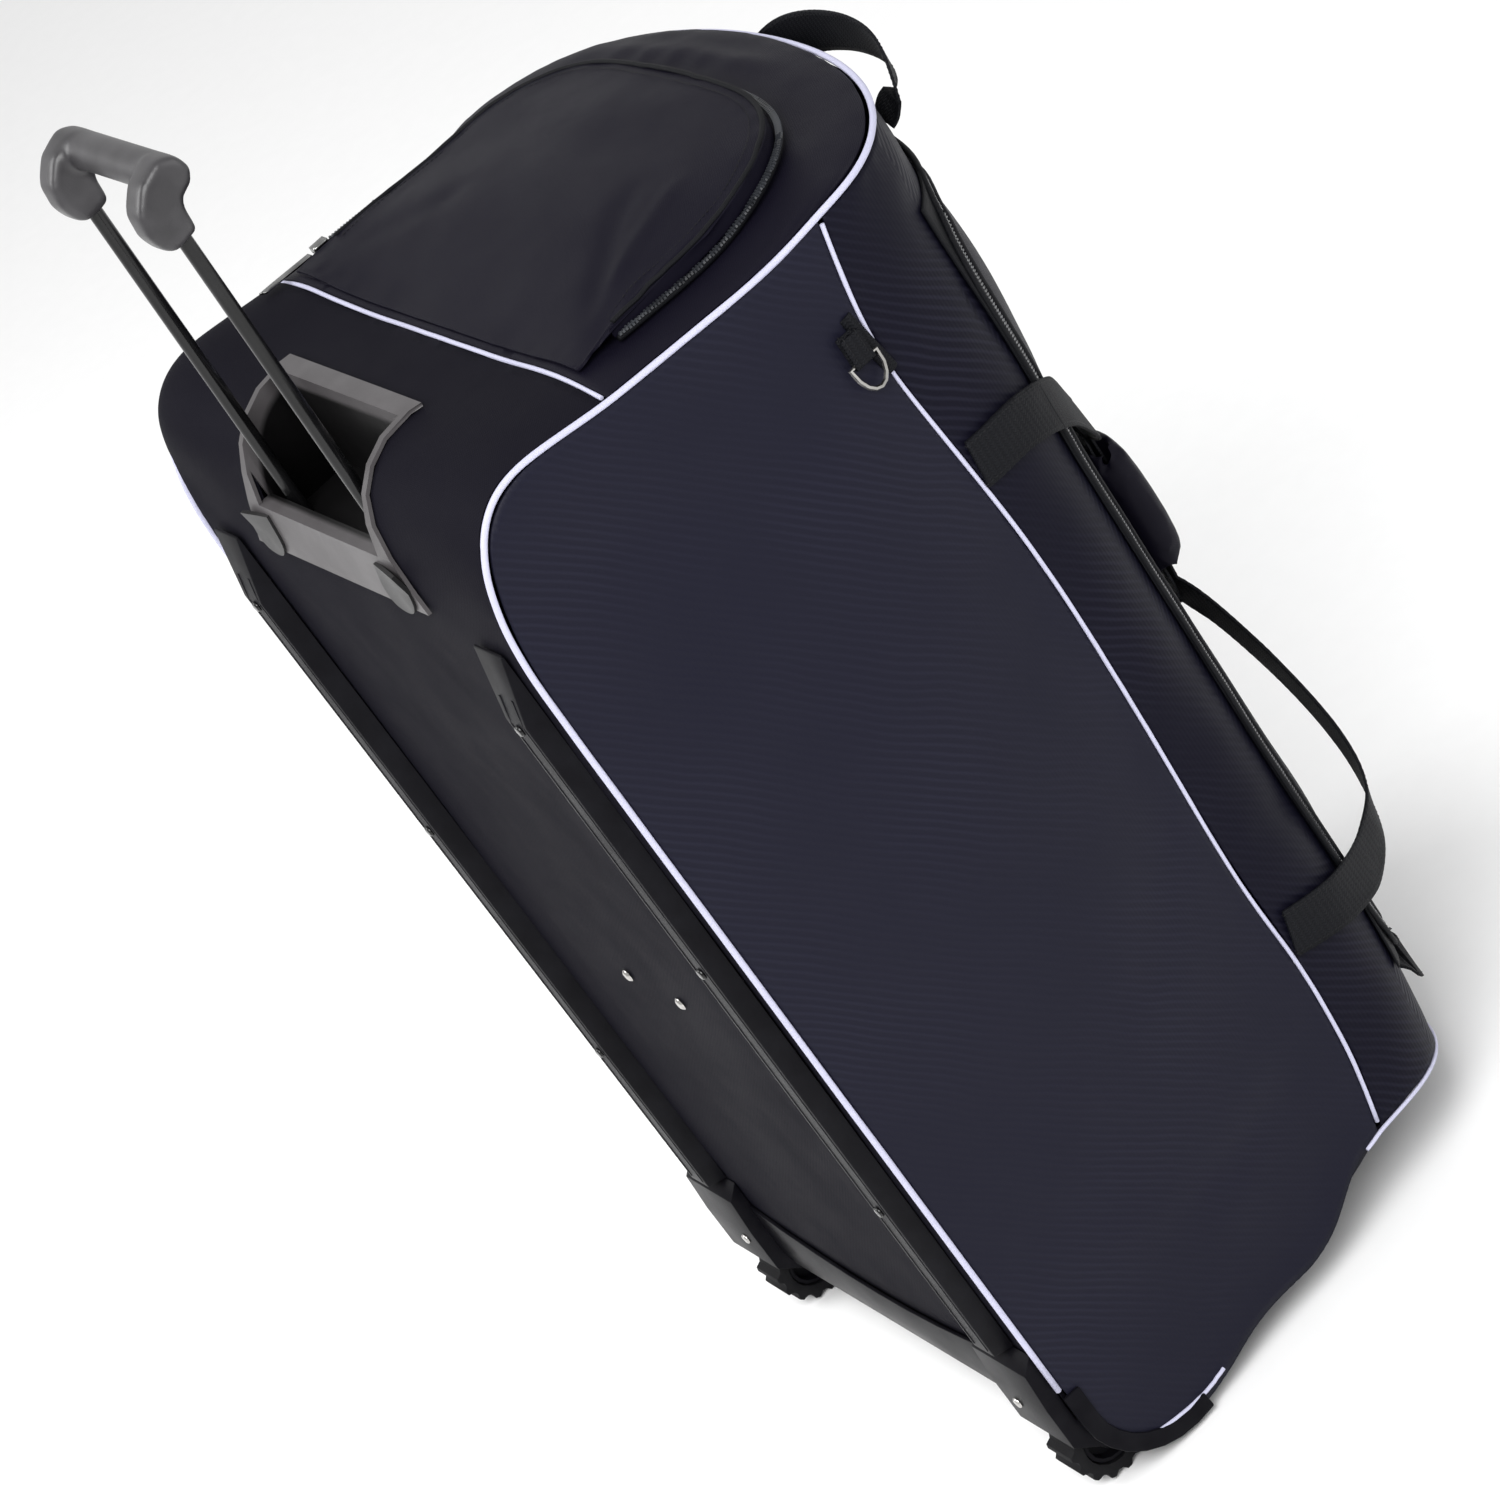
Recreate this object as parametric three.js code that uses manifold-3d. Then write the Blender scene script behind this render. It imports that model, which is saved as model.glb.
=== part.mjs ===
// A wheeled goalie bag, standing on its wheel end with the trolley handle pulled out.
// Millimetres, +Z up. The back with its rails faces +Y, the lid faces -Y, the wheels are at the bottom.
import * as THREE from "three";
import { mergeVertices } from "three/addons/utils/BufferGeometryUtils.js";
import ManifoldModule from "manifold-3d";

const wasm = await ManifoldModule();
wasm.setup();

// Driving sizes of the bag body
const BAG_WIDTH = 510;
const SIDE_DEPTH = 335;
const LID_DEPTH = 480;
const BAG_HEIGHT = 928;
const SHOULDER_RISE = 12;
const SHOULDER_DEPTH = 80;
const SHOULDER_DROP = 150;
const SHOULDER_SQUARENESS = 2.5;
const TOP_CROWN = 20;
const TOP_SAG = 0.6;
const FAR_PUFF = 0.7;
const SIDE_BULGE = 38;
const HEEL_RADIUS = 70;
const RIM_LIFT = 72;
const FRONT_LIFT = 26;
const END_SEAM_DEPTH = 150;
const CLOTH = 2;
const BOARD = 3;
const GAP = 0.4;

// Seams and piping
const THICK_PIPING = 5.4;
const THIN_PIPING = 3.8;
const SEAM_GAP = 0.8;
const PIPING_FOOT = 113;

// Lid opening
const FLAP_TURN = 0.58;
const FLAP_LOW = 0.1;
const FLAP_HIGH = 0.915;
const FLAP_PUFF = 8;
const ZIP_TAPE = 1.6;

// End pocket
const POCKET_INSET = 40;
const POCKET_WIDTH = BAG_WIDTH - 2 * POCKET_INSET;
const POCKET_REACH = 256;
const POCKET_EDGE = 13;
const POCKET_PUFF = 12;
const POCKET_ZIP_RADIUS = 2.4;
const FAR_SLACK = 0.65;
const SLIDER_LENGTH = 13;
const SLIDER_WIDTH = 9;
const SLIDER_THICK = 5;
const SLIDER_OUT = 4.4;
const PULL_LENGTH = 48;
const PULL_WIDTH = 7;
const PULL_THICK = 1.6;
const PULL_SWAY = 10;

// Wheel end
const WHEEL_RADIUS = 34;
const WHEEL_WIDTH = 34;
const WHEEL_INSET = 41;
const WHEEL_SPREAD = BAG_WIDTH / 2 - WHEEL_INSET;
const WHEEL_SETBACK = 16;
const WHEEL_CLEARANCE = 3.5;
const AXLE_RADIUS = 4;
const HUB_RADIUS = 22;
const HUB_BOSS = 9;
const HUB_WEB = 6;
const HUB_RIM = 3.5;
const TREAD_LUGS = 14;
const TREAD_DEPTH = 4;
const HOUSING_WIDTH = 73;
const HOUSING_TOP = 150;
const HOUSING_STAND = 15;
const PLATE = 3;
const PLATE_EDGE_LOW = 104;
const PLATE_EDGE_HIGH = 124;
const GUARD_WIDTH = 13;

// Rails on the back
const RAIL_INSET = 45;
const RAIL_SPREAD = BAG_WIDTH / 2 - RAIL_INSET;
const RAIL_BASE = 44;
const RAIL_CROWN = 28;
const RAIL_HEIGHT = 15;
const RAIL_TOP = 835;
const RAIL_RAMP = 55;
const SCREW_RADIUS = 5;
const SCREW_HEAD = 2;
const RIVET_SPREAD = 40;
const RIVET_HEIGHT = 434;
const RIVET_RADIUS = 6;

// Trolley handle
const ROD_SPREAD = 77;
const ROD_RADIUS = 5.5;
const ROD_LEAN = THREE.MathUtils.degToRad(1.8);
const ROD_TOP = 1137;
const ROD_TOP_DEPTH = 33;
const ROD_FOOT = 765;
const ROD_SOCKET = 16;
const TUBE_WALL = 1.2;
const TUBE_FOOT = 488;
const ROD_PLAY = 0.5;
const RECESS_WIDTH = 192;
const RECESS_DEPTH = 74;
const RECESS_FLOOR = 863;
const RECESS_SILL = 884;
const BEZEL_TOP_WIDTH = 208;
const BEZEL_FOOT_WIDTH = 272;
const BEZEL_FOOT = 846;
const BEZEL_EDGE_DEPTH = 90;
const BEZEL_WALL = 3;
const GRIP_WIDTH = 174;
const GRIP_BAR = 26;
const HOOK_WIDTH = 22;

// Webbing
const WEBBING = 38;
const WEBBING_THICK = 2;
const STRAP_STACK = 6;
const WRAP_LENGTH = 118;
const WRAP_LOW = 418;
const WRAP_TURN = -0.05;
const WRAP_STAND = 36;
const WRAP_WIDTH = 58;
const WRAP_THICK = 32;
const GRAB_WEBBING = 36;
const RING_WIRE = 1.8;
const RING_WIDTH = 24;

const HALF = BAG_WIDTH / 2;
const THICK_R = THICK_PIPING / 2;
const THIN_R = THIN_PIPING / 2;
const THICK_INSET = THICK_R + SEAM_GAP;
const THIN_INSET = THIN_R + SEAM_GAP;

// Depth of the side seam, as shares of the bag's height and of the side's depth
const SEAM_ROWS = [
  { up: 0.078, deep: 0.93 },
  { up: 0.12, deep: 0.96 },
  { up: 0.17, deep: 0.976 },
  { up: 0.26, deep: 0.988 },
  { up: 0.33, deep: 0.974 },
  { up: 0.53, deep: 1.0 },
  { up: 0.68, deep: 1.006 },
  { up: 0.815, deep: 0.976 },
  { up: 0.875, deep: 0.961 },
  { up: 0.935, deep: 0.979 },
  { up: 1.0, deep: 1.02 },
];

// Depth of the lid's crown, as shares of the bag's height and of the lid's depth
const CROWN_ROWS = [
  { up: 0.0, deep: 0.9 },
  { up: 0.08, deep: 0.915 },
  { up: 0.2, deep: 0.942 },
  { up: 0.39, deep: 0.958 },
  { up: 0.49, deep: 0.967 },
  { up: 0.71, deep: 0.978 },
  { up: 0.81, deep: 1.012 },
  { up: 0.93, deep: 1.006 },
  { up: 1.0, deep: 1.0 },
];

// Height of the side's top edge, as shares of the side's depth and of the shoulder's rise
const TOP_ROWS = [
  { deep: 0.24, lift: 1.0 },
  { deep: 0.33, lift: 0.67 },
  { deep: 0.44, lift: 0.2 },
  { deep: 0.56, lift: 0 },
  { deep: 0.69, lift: -0.2 },
  { deep: 0.82, lift: -0.42 },
  { deep: 0.92, lift: -0.38 },
  { deep: 1.0, lift: -0.05 },
];

// Height of the side's bottom hem, as shares of the side's depth and of the hem's lift at the front
const HEM_ROWS = [
  { deep: 0.2, lift: 0.09 },
  { deep: 0.26, lift: 0.11 },
  { deep: 0.38, lift: 0.3 },
  { deep: 0.5, lift: 0.46 },
  { deep: 0.61, lift: 0.38 },
  { deep: 0.71, lift: 0.5 },
  { deep: 0.81, lift: 0.84 },
  { deep: 0.87, lift: 0.97 },
  { deep: 1.0, lift: 1.0 },
];

/** Smooth value of a table at a place, by cubic steps between its rows. */
function tableAt(rows, inKey, outKey, value) {
  const last = rows.length - 1;
  if (value <= rows[0][inKey]) return rows[0][outKey];
  if (value >= rows[last][inKey]) return rows[last][outKey];
  let i = 0;
  while (rows[i + 1][inKey] < value) i += 1;
  const slope = (k) => {
    const a = rows[Math.max(k - 1, 0)];
    const b = rows[Math.min(k + 1, last)];
    return (b[outKey] - a[outKey]) / (b[inKey] - a[inKey]);
  };
  const width = rows[i + 1][inKey] - rows[i][inKey];
  const s = (value - rows[i][inKey]) / width;
  const s2 = s * s;
  const s3 = s2 * s;
  return (2 * s3 - 3 * s2 + 1) * rows[i][outKey] + (s3 - 2 * s2 + s) * width * slope(i)
    + (3 * s2 - 2 * s3) * rows[i + 1][outKey] + (s3 - s2) * width * slope(i + 1);
}

/** Smooth rise from 0 to 1 between two places. */
function rise(from, to, value) {
  const s = THREE.MathUtils.clamp((value - from) / (to - from), 0, 1);
  return s * s * (3 - 2 * s);
}

const mix = THREE.MathUtils.lerp;

/** Cosine raised so that a quarter turn draws a superellipse of the given squareness. */
function squared(value, squareness) {
  return Math.sign(value) * Math.abs(value) ** (2 / squareness);
}

const seamDepth = (z) => SIDE_DEPTH * tableAt(SEAM_ROWS, "up", "deep", z / BAG_HEIGHT);
const crownDepth = (z) => LID_DEPTH * tableAt(CROWN_ROWS, "up", "deep", z / BAG_HEIGHT);
const lidSquareness = (z) => mix(2.8, 2.2, rise(0, BAG_HEIGHT * 0.6, z));
const hemHeight = (depth) => RIM_LIFT * tableAt(HEM_ROWS, "deep", "lift", depth / SIDE_DEPTH);

/** Point of the lid's outer surface: turn is -1 at the near seam, 0 at the crown, 1 at the far seam. */
function lidPoint(turn, z, stand = 0) {
  const at = (t, h) => {
    const angle = t * Math.PI / 2;
    const n = lidSquareness(h);
    const seam = seamDepth(h);
    return new THREE.Vector3(HALF * squared(Math.sin(angle), n),
      -seam - (crownDepth(h) - seam) * squared(Math.cos(angle), n), h);
  };
  const point = at(turn, z);
  if (stand === 0) return point;
  const around = at(Math.min(turn + 0.01, 1), z).sub(at(Math.max(turn - 0.01, -1), z));
  const up = at(turn, z + 5).sub(at(turn, z - 5));
  return point.addScaledVector(around.cross(up).normalize(), stand);
}

/** Turn at which the lid's surface is a given distance past the side seam. */
function turnPastSeam(z, distance) {
  const n = lidSquareness(z);
  const share = distance / (crownDepth(z) - seamDepth(z));
  return Math.acos(share ** (n / 2)) / (Math.PI / 2);
}

/** Depth of the dome's rim at a place across the bag, drawn in by an inset. */
function domeDepth(x, height, inset) {
  const seam = seamDepth(height);
  const reach = crownDepth(height) - seam - inset;
  const n = lidSquareness(height);
  const share = Math.min(Math.abs(x) / (HALF - inset), 1);
  return seam + reach * (1 - share ** n) ** (1 / n);
}

/** How far out a place lies between the middle of an end and its rim, from 0 to 1. */
function rimShare(x, depth, height) {
  const seam = seamDepth(height);
  const across = Math.abs(x) / HALF;
  if (depth <= seam) return Math.min(across, 1);
  const n = lidSquareness(height);
  const along = (depth - seam) / (crownDepth(height) - seam);
  return Math.min((across ** n + along ** n) ** (1 / n), 1);
}

/** Pillow shape of stretched cloth: full in the middle, falling to its rim, steepest on the far side. */
function pillow(share, x) {
  const s = Math.min(share, 1);
  return x < 0 ? (1 - s ** 3) ** 0.7 : (1 - s ** 5) ** 0.5;
}

/** Sag of the cloth round the handle's opening, as a share taken off its crown. */
function sag(x, depth) {
  const across = 1 - rise(0.46 * HALF, 0.85 * HALF, Math.abs(x));
  return TOP_SAG * across * (1 - rise(0.5 * SIDE_DEPTH, 0.8 * SIDE_DEPTH, depth));
}

/** Height of the top end's cloth. */
function topHeight(x, depth) {
  const crown = TOP_CROWN * pillow(rimShare(x, depth, BAG_HEIGHT), x) * (1 - sag(x, depth));
  return BAG_HEIGHT + SHOULDER_RISE * tableAt(TOP_ROWS, "deep", "lift", depth / SIDE_DEPTH) + crown;
}

/** Height of the hem where the lid meets the bottom end. */
const frontHem = (x) => mix(FRONT_LIFT, RIM_LIFT, (Math.abs(x) / HALF) ** 2);

/** Bulge of a side panel beyond the seams, at a place on it. */
function sideBulge(y, z) {
  const across = THREE.MathUtils.clamp(-y / SIDE_DEPTH, 0, 1);
  const up = THREE.MathUtils.clamp((z - hemHeight(-y)) / (BAG_HEIGHT - RIM_LIFT), 0, 1);
  return SIDE_BULGE * Math.sin(Math.PI * across) ** 1.2 * Math.sin(Math.PI * up ** 1.15) ** 1.2;
}

// Mesh helpers

/** Closed geometry from points and triangles, with its faces turned outwards. */
function closedGeometry(points, triangles) {
  let volume = 0;
  const cross = new THREE.Vector3();
  for (const [a, b, c] of triangles) {
    volume += points[a].dot(cross.crossVectors(points[b], points[c]));
  }
  const order = volume < 0 ? (t) => [t[0], t[2], t[1]] : (t) => t;
  const geometry = new THREE.BufferGeometry();
  const numbers = points.flatMap((p) => [p.x, p.y, p.z]);
  geometry.setAttribute("position", new THREE.Float32BufferAttribute(numbers, 3));
  geometry.setIndex(triangles.flatMap(order));
  geometry.computeVertexNormals();
  return geometry;
}

/** Unit normals of a grid of points. */
function gridNormals(grid) {
  return grid.map((row, i) => row.map((_, j) => {
    const before = grid[Math.max(i - 1, 0)][j];
    const after = grid[Math.min(i + 1, grid.length - 1)][j];
    const left = row[Math.max(j - 1, 0)];
    const right = row[Math.min(j + 1, row.length - 1)];
    return after.clone().sub(before).cross(right.clone().sub(left)).normalize();
  }));
}

const BAG_MIDDLE = new THREE.Vector3(0, -SIDE_DEPTH / 2, BAG_HEIGHT / 2);

/**
 * Sheet of cloth or moulded wall from a grid of points on its outer face.
 * The wall's thickness goes towards a point, which is the bag's middle unless another is given.
 * keep(i, j) says which cells exist, so a sheet can have an opening.
 */
function sheet(grid, thickness, keep = () => true, toward = BAG_MIDDLE) {
  const rows = grid.length;
  const columns = grid[0].length;
  const normals = gridNormals(grid);
  let facing = 0;
  grid.forEach((row, i) => row.forEach((p, j) => {
    facing += normals[i][j].dot(toward.clone().sub(p));
  }));
  const inward = Math.sign(facing);
  const points = [];
  const ids = new Map();
  const id = (i, j, side) => {
    const key = (i * columns + j) * 2 + side;
    if (!ids.has(key)) {
      ids.set(key, points.length);
      points.push(grid[i][j].clone().addScaledVector(normals[i][j], side * thickness * inward));
    }
    return ids.get(key);
  };
  const exists = (i, j) => i >= 0 && j >= 0 && i < rows - 1 && j < columns - 1 && keep(i, j);
  const triangles = [];
  const quad = (a, b, c, d) => triangles.push([a, b, c], [a, c, d]);
  for (let i = 0; i < rows - 1; i += 1) {
    for (let j = 0; j < columns - 1; j += 1) {
      if (!exists(i, j)) continue;
      quad(id(i, j, 0), id(i + 1, j, 0), id(i + 1, j + 1, 0), id(i, j + 1, 0));
      quad(id(i, j, 1), id(i, j + 1, 1), id(i + 1, j + 1, 1), id(i + 1, j, 1));
      if (!exists(i - 1, j)) quad(id(i, j, 0), id(i, j + 1, 0), id(i, j + 1, 1), id(i, j, 1));
      if (!exists(i + 1, j)) quad(id(i + 1, j + 1, 0), id(i + 1, j, 0), id(i + 1, j, 1), id(i + 1, j + 1, 1));
      if (!exists(i, j - 1)) quad(id(i + 1, j, 0), id(i, j, 0), id(i, j, 1), id(i + 1, j, 1));
      if (!exists(i, j + 1)) quad(id(i, j + 1, 0), id(i + 1, j + 1, 0), id(i + 1, j + 1, 1), id(i, j + 1, 1));
    }
  }
  return closedGeometry(points, triangles);
}

/** Solid through a row of equal rings of points, capped at both ends unless it closes on itself. */
function loft(rings, closed = false) {
  const count = rings[0].length;
  const points = rings.flat();
  const triangles = [];
  const last = closed ? rings.length : rings.length - 1;
  for (let i = 0; i < last; i += 1) {
    const a = i * count;
    const b = ((i + 1) % rings.length) * count;
    for (let j = 0; j < count; j += 1) {
      const k = (j + 1) % count;
      triangles.push([a + j, a + k, b + k], [a + j, b + k, b + j]);
    }
  }
  if (!closed) {
    const end = (rings.length - 1) * count;
    for (let j = 1; j < count - 1; j += 1) {
      triangles.push([0, j + 1, j], [end, end + j, end + j + 1]);
    }
  }
  return closedGeometry(points, triangles);
}

/** Round tube along a row of points. */
function tube(path, radius, sides = 6, closed = false) {
  const count = path.length;
  const tangentAt = (i) => {
    const before = closed ? path[(i - 1 + count) % count] : path[Math.max(i - 1, 0)];
    const after = closed ? path[(i + 1) % count] : path[Math.min(i + 1, count - 1)];
    return after.clone().sub(before).normalize();
  };
  let tangent = tangentAt(0);
  const helper = Math.abs(tangent.x) < 0.9 ? new THREE.Vector3(1, 0, 0) : new THREE.Vector3(0, 1, 0);
  let side = helper.cross(tangent).normalize();
  const rings = path.map((point, i) => {
    const next = tangentAt(i);
    side.applyQuaternion(new THREE.Quaternion().setFromUnitVectors(tangent, next));
    tangent = next;
    const other = tangent.clone().cross(side);
    return Array.from({ length: sides }, (_, k) => {
      const angle = 2 * Math.PI * k / sides;
      return point.clone().addScaledVector(side, radius * Math.cos(angle))
        .addScaledVector(other, radius * Math.sin(angle));
    });
  });
  return loft(rings, closed);
}

/** Prism of an outline in the YZ plane, between two places along X. */
function acrossPrism(outline, fromX, toX) {
  const shape = new THREE.Shape(outline.map(([y, z]) => new THREE.Vector2(y, z)));
  const prism = new THREE.ExtrudeGeometry(shape, { depth: toX - fromX, bevelEnabled: false });
  const axes = new THREE.Matrix4().makeBasis(
    new THREE.Vector3(0, 1, 0), new THREE.Vector3(0, 0, 1), new THREE.Vector3(1, 0, 0));
  return prism.applyMatrix4(axes).translate(fromX, 0, 0);
}

/** Box between two corners. */
function block(low, high) {
  const size = high.map((v, k) => v - low[k]);
  const middle = high.map((v, k) => (v + low[k]) / 2);
  return new THREE.BoxGeometry(...size).translate(...middle);
}

/** Cylinder along X. */
function acrossCylinder(radius, fromX, toX, y, z, sides) {
  const cylinder = new THREE.CylinderGeometry(radius, radius, toX - fromX, sides);
  return cylinder.rotateZ(Math.PI / 2).translate((fromX + toX) / 2, y, z);
}

/** Solid for joining and cutting. */
function solid(geometry) {
  const plain = geometry.clone();
  plain.deleteAttribute("normal");
  plain.deleteAttribute("uv");
  const merged = mergeVertices(plain, 1e-4);
  return new wasm.Manifold(new wasm.Mesh({
    numProp: 3,
    vertProperties: new Float32Array(merged.attributes.position.array),
    triVerts: new Uint32Array(merged.index.array),
  }));
}

/** Geometry of a joined or cut solid. */
function fromSolid(result) {
  const mesh = result.getMesh();
  const geometry = new THREE.BufferGeometry();
  geometry.setAttribute("position", new THREE.BufferAttribute(new Float32Array(mesh.vertProperties), 3));
  geometry.setIndex(new THREE.BufferAttribute(new Uint32Array(mesh.triVerts), 1));
  geometry.computeVertexNormals();
  return geometry;
}

/** Points at equal steps along a row of points. */
function resample(path, count) {
  const lengths = [0];
  for (let i = 1; i < path.length; i += 1) lengths.push(lengths[i - 1] + path[i].distanceTo(path[i - 1]));
  return Array.from({ length: count + 1 }, (_, k) => {
    const target = lengths[lengths.length - 1] * k / count;
    let i = 1;
    while (i < path.length - 1 && lengths[i] < target) i += 1;
    const share = (target - lengths[i - 1]) / (lengths[i] - lengths[i - 1]);
    return path[i - 1].clone().lerp(path[i], share);
  });
}

/** Whole steps from 0 to 1. */
const steps = (count) => Array.from({ length: count + 1 }, (_, k) => k / count);

const group = new THREE.Group();

/** Adds a named piece to the bag. */
function piece(name, geometry, finish) {
  const mesh = new THREE.Mesh(geometry, new THREE.MeshStandardMaterial(finish));
  mesh.name = name;
  group.add(mesh);
  return mesh;
}

const NAVY_CLOTH = { color: 0x23232a, roughness: 0.85, metalness: 0 };
const BLACK_CLOTH = { color: 0x131316, roughness: 0.9, metalness: 0 };
const PIPING = { color: 0xe1e1f0, roughness: 0.5, metalness: 0 };
const BLACK_PLASTIC = { color: 0x1c1c1f, roughness: 0.45, metalness: 0 };
const GREY_PLASTIC = { color: 0x4a4a4d, roughness: 0.5, metalness: 0 };
const BLACK_METAL = { color: 0x1a1a1c, roughness: 0.3, metalness: 0.8 };
const NICKEL = { color: 0xb8b8bc, roughness: 0.25, metalness: 1 };
const RUBBER = { color: 0x151517, roughness: 0.9, metalness: 0 };
const WEB = { color: 0x17171a, roughness: 0.9, metalness: 0 };

const SIDES = [{ side: "near", sign: -1 }, { side: "far", sign: 1 }];

// Outlines of the side, as points in the plane of the seams

/** Point on the rounded shoulder: 0 at its foot on the back, 1 at its end on the top. */
function shoulderPoint(share, inset) {
  const angle = share * Math.PI / 2;
  const top = BAG_HEIGHT + SHOULDER_RISE;
  return new THREE.Vector3(0,
    -SHOULDER_DEPTH + (SHOULDER_DEPTH - inset) * squared(Math.cos(angle), SHOULDER_SQUARENESS),
    top - SHOULDER_DROP + (SHOULDER_DROP - inset) * squared(Math.sin(angle), SHOULDER_SQUARENESS));
}

/** Share of the shoulder's turn at a height. */
function shoulderShareAt(z) {
  const foot = BAG_HEIGHT + SHOULDER_RISE - SHOULDER_DROP;
  const share = THREE.MathUtils.clamp((z - foot) / SHOULDER_DROP, 0, 1);
  return Math.asin(share ** (SHOULDER_SQUARENESS / 2)) / (Math.PI / 2);
}

/** Point on the rounded heel: 0 at the back, 1 under the bag. */
function heelPoint(share, inset) {
  const angle = share * Math.PI / 2;
  const radius = HEEL_RADIUS - inset;
  const middle = hemHeight(HEEL_RADIUS) + HEEL_RADIUS;
  return new THREE.Vector3(0, -HEEL_RADIUS + radius * Math.cos(angle), middle - radius * Math.sin(angle));
}

const flat = (y, z) => new THREE.Vector3(0, y, z);

/** Room left under a side panel: for the heel at the back, for the hem's piping at the front. */
function sideFoot(depth) {
  return GAP + (THICK_INSET - GAP) * (1 - rise(HEEL_RADIUS, HEEL_RADIUS + 40, depth))
    + (THIN_INSET - GAP) * rise(0.78 * SIDE_DEPTH, 0.87 * SIDE_DEPTH, depth);
}

/** The four edges of a side panel, each a row of points, drawn in by the piping's room. */
function sideEdges() {
  const inset = THICK_INSET;
  const back = [
    ...steps(4).map((s) => heelPoint(0.5 - s / 2, inset)),
    ...steps(5).map((s) => shoulderPoint(s / 2, inset)),
  ];
  const top = [
    ...steps(5).map((s) => shoulderPoint(0.5 + s / 2, inset)),
    ...steps(12).slice(1).map((s) => {
      const depth = mix(SHOULDER_DEPTH, seamDepth(BAG_HEIGHT) - THIN_INSET, s);
      return flat(-depth, topHeight(HALF, depth) - inset);
    }),
  ];
  const hemEnd = seamDepth(RIM_LIFT) - THIN_INSET;
  const bottom = [
    ...steps(4).map((s) => heelPoint(0.5 + s / 2, inset)),
    ...steps(10).slice(1).map((s) => {
      const depth = mix(HEEL_RADIUS, hemEnd, s);
      return flat(-depth, hemHeight(depth) + sideFoot(depth));
    }),
  ];
  const frontFoot = bottom[bottom.length - 1].z;
  const frontHead = top[top.length - 1].z;
  const front = steps(16).map((s) => {
    const z = mix(frontFoot, frontHead, s);
    return flat(-seamDepth(z) + THIN_INSET, z);
  });
  return { back, top, bottom, front };
}

/** Grid of a side panel from its four edges, bulged outwards. */
function sideGrid(sign, across, up) {
  const edges = sideEdges();
  const back = resample(edges.back, up);
  const front = resample(edges.front, up);
  const bottom = resample(edges.bottom, across);
  const top = resample(edges.top, across);
  return steps(up).map((v, i) => steps(across).map((u, j) => {
    const point = back[i].clone().multiplyScalar(1 - u).addScaledVector(front[i], u)
      .addScaledVector(bottom[j], 1 - v).addScaledVector(top[j], v)
      .addScaledVector(bottom[0], -(1 - u) * (1 - v)).addScaledVector(bottom[across], -u * (1 - v))
      .addScaledVector(top[0], -(1 - u) * v).addScaledVector(top[across], -u * v);
    point.x = sign * (HALF + sideBulge(point.y, point.z));
    return point;
  }));
}

// Body panels

for (const { side, sign } of SIDES) {
  piece(`side_panel_${side}`, sheet(sideGrid(sign, 11, 16), CLOTH), NAVY_CLOTH);
}

/** Share of the top's crown that the shoulder has at a place on its turn; none where the rails end. */
const shoulderCrown = (share) => rise(0.2, 0.7, share);

/** Rows across the back and over the shoulder, each with its place, normal and share of the crown. */
function backRows(footZ) {
  const start = shoulderPoint(0, 0);
  const rows = steps(3).slice(0, 3).map((s) => (
    { y: 0, z: mix(footZ, start.z, s), ny: 1, nz: 0, crown: 0, turn: 0 }));
  for (const s of steps(8)) {
    const at = shoulderPoint(s, 0);
    const before = shoulderPoint(Math.max(s - 0.02, 0), 0);
    const after = shoulderPoint(Math.min(s + 0.02, 1), 0);
    const along = after.sub(before).normalize();
    rows.push({ y: at.y, z: at.z, ny: along.z, nz: -along.y, crown: shoulderCrown(s), turn: s });
  }
  const endDepth = END_SEAM_DEPTH - THIN_R - GAP;
  rows.push({ y: -endDepth, z: topHeight(HALF, endDepth), ny: 0, nz: 1, crown: 1, turn: 1 });
  return rows;
}

/** Point of the back's outer face on one of its rows. */
function backPoint(row, x, stand = 0) {
  const puff = 1 + FAR_PUFF * rise(0.4 * HALF, 0.8 * HALF, x) * Math.sin(Math.PI * row.turn);
  const crown = TOP_CROWN * pillow(Math.abs(x) / HALF, x) * (1 - sag(x, 0));
  const lift = row.crown * crown * puff + stand;
  return new THREE.Vector3(x, row.y + row.ny * lift, row.z + row.nz * lift);
}

const BACK_FOOT = PLATE_EDGE_LOW - 9;
const backShares = [-1, -0.96, -0.86, -0.65, -0.46, -0.23, 0, 0.23, 0.46, 0.65, 0.86, 0.96, 1];
const backColumns = backShares.map((s) => s * (HALF - THICK_INSET));
const backGrid = backRows(BACK_FOOT).map((row) => backColumns.map((x) => backPoint(row, x)));
const cupHalf = RECESS_WIDTH / 2 + BEZEL_WALL;
const cupHole = block([-cupHalf - GAP, -RECESS_DEPTH - BEZEL_WALL - GAP, RECESS_SILL - 2 * BEZEL_WALL - GAP],
  [cupHalf + GAP, 60, SHOULDER_DROP + BAG_HEIGHT]);
piece("back_panel", fromSolid(solid(sheet(backGrid, BOARD)).subtract(solid(cupHole))), BLACK_CLOTH);

/** Grid of an end of the bag, from a straight back edge to the dome's rim. */
function endGrid(backDepth, rimHeightAt, inset, heightAt, across, along) {
  const edge = HALF - inset;
  return steps(along).map((v) => steps(across).map((u) => {
    const x = edge * Math.sin((u - 0.5) * Math.PI);
    const depth = mix(backDepth, domeDepth(x, rimHeightAt(x), inset), Math.sin(v * Math.PI / 2));
    return new THREE.Vector3(x, -depth, heightAt(x, depth));
  }));
}

const topEnd = endGrid(END_SEAM_DEPTH + THIN_R + GAP, () => BAG_HEIGHT, THICK_INSET, topHeight, 12, 7);
piece("top_end_panel", sheet(topEnd, CLOTH), BLACK_CLOTH);

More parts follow.
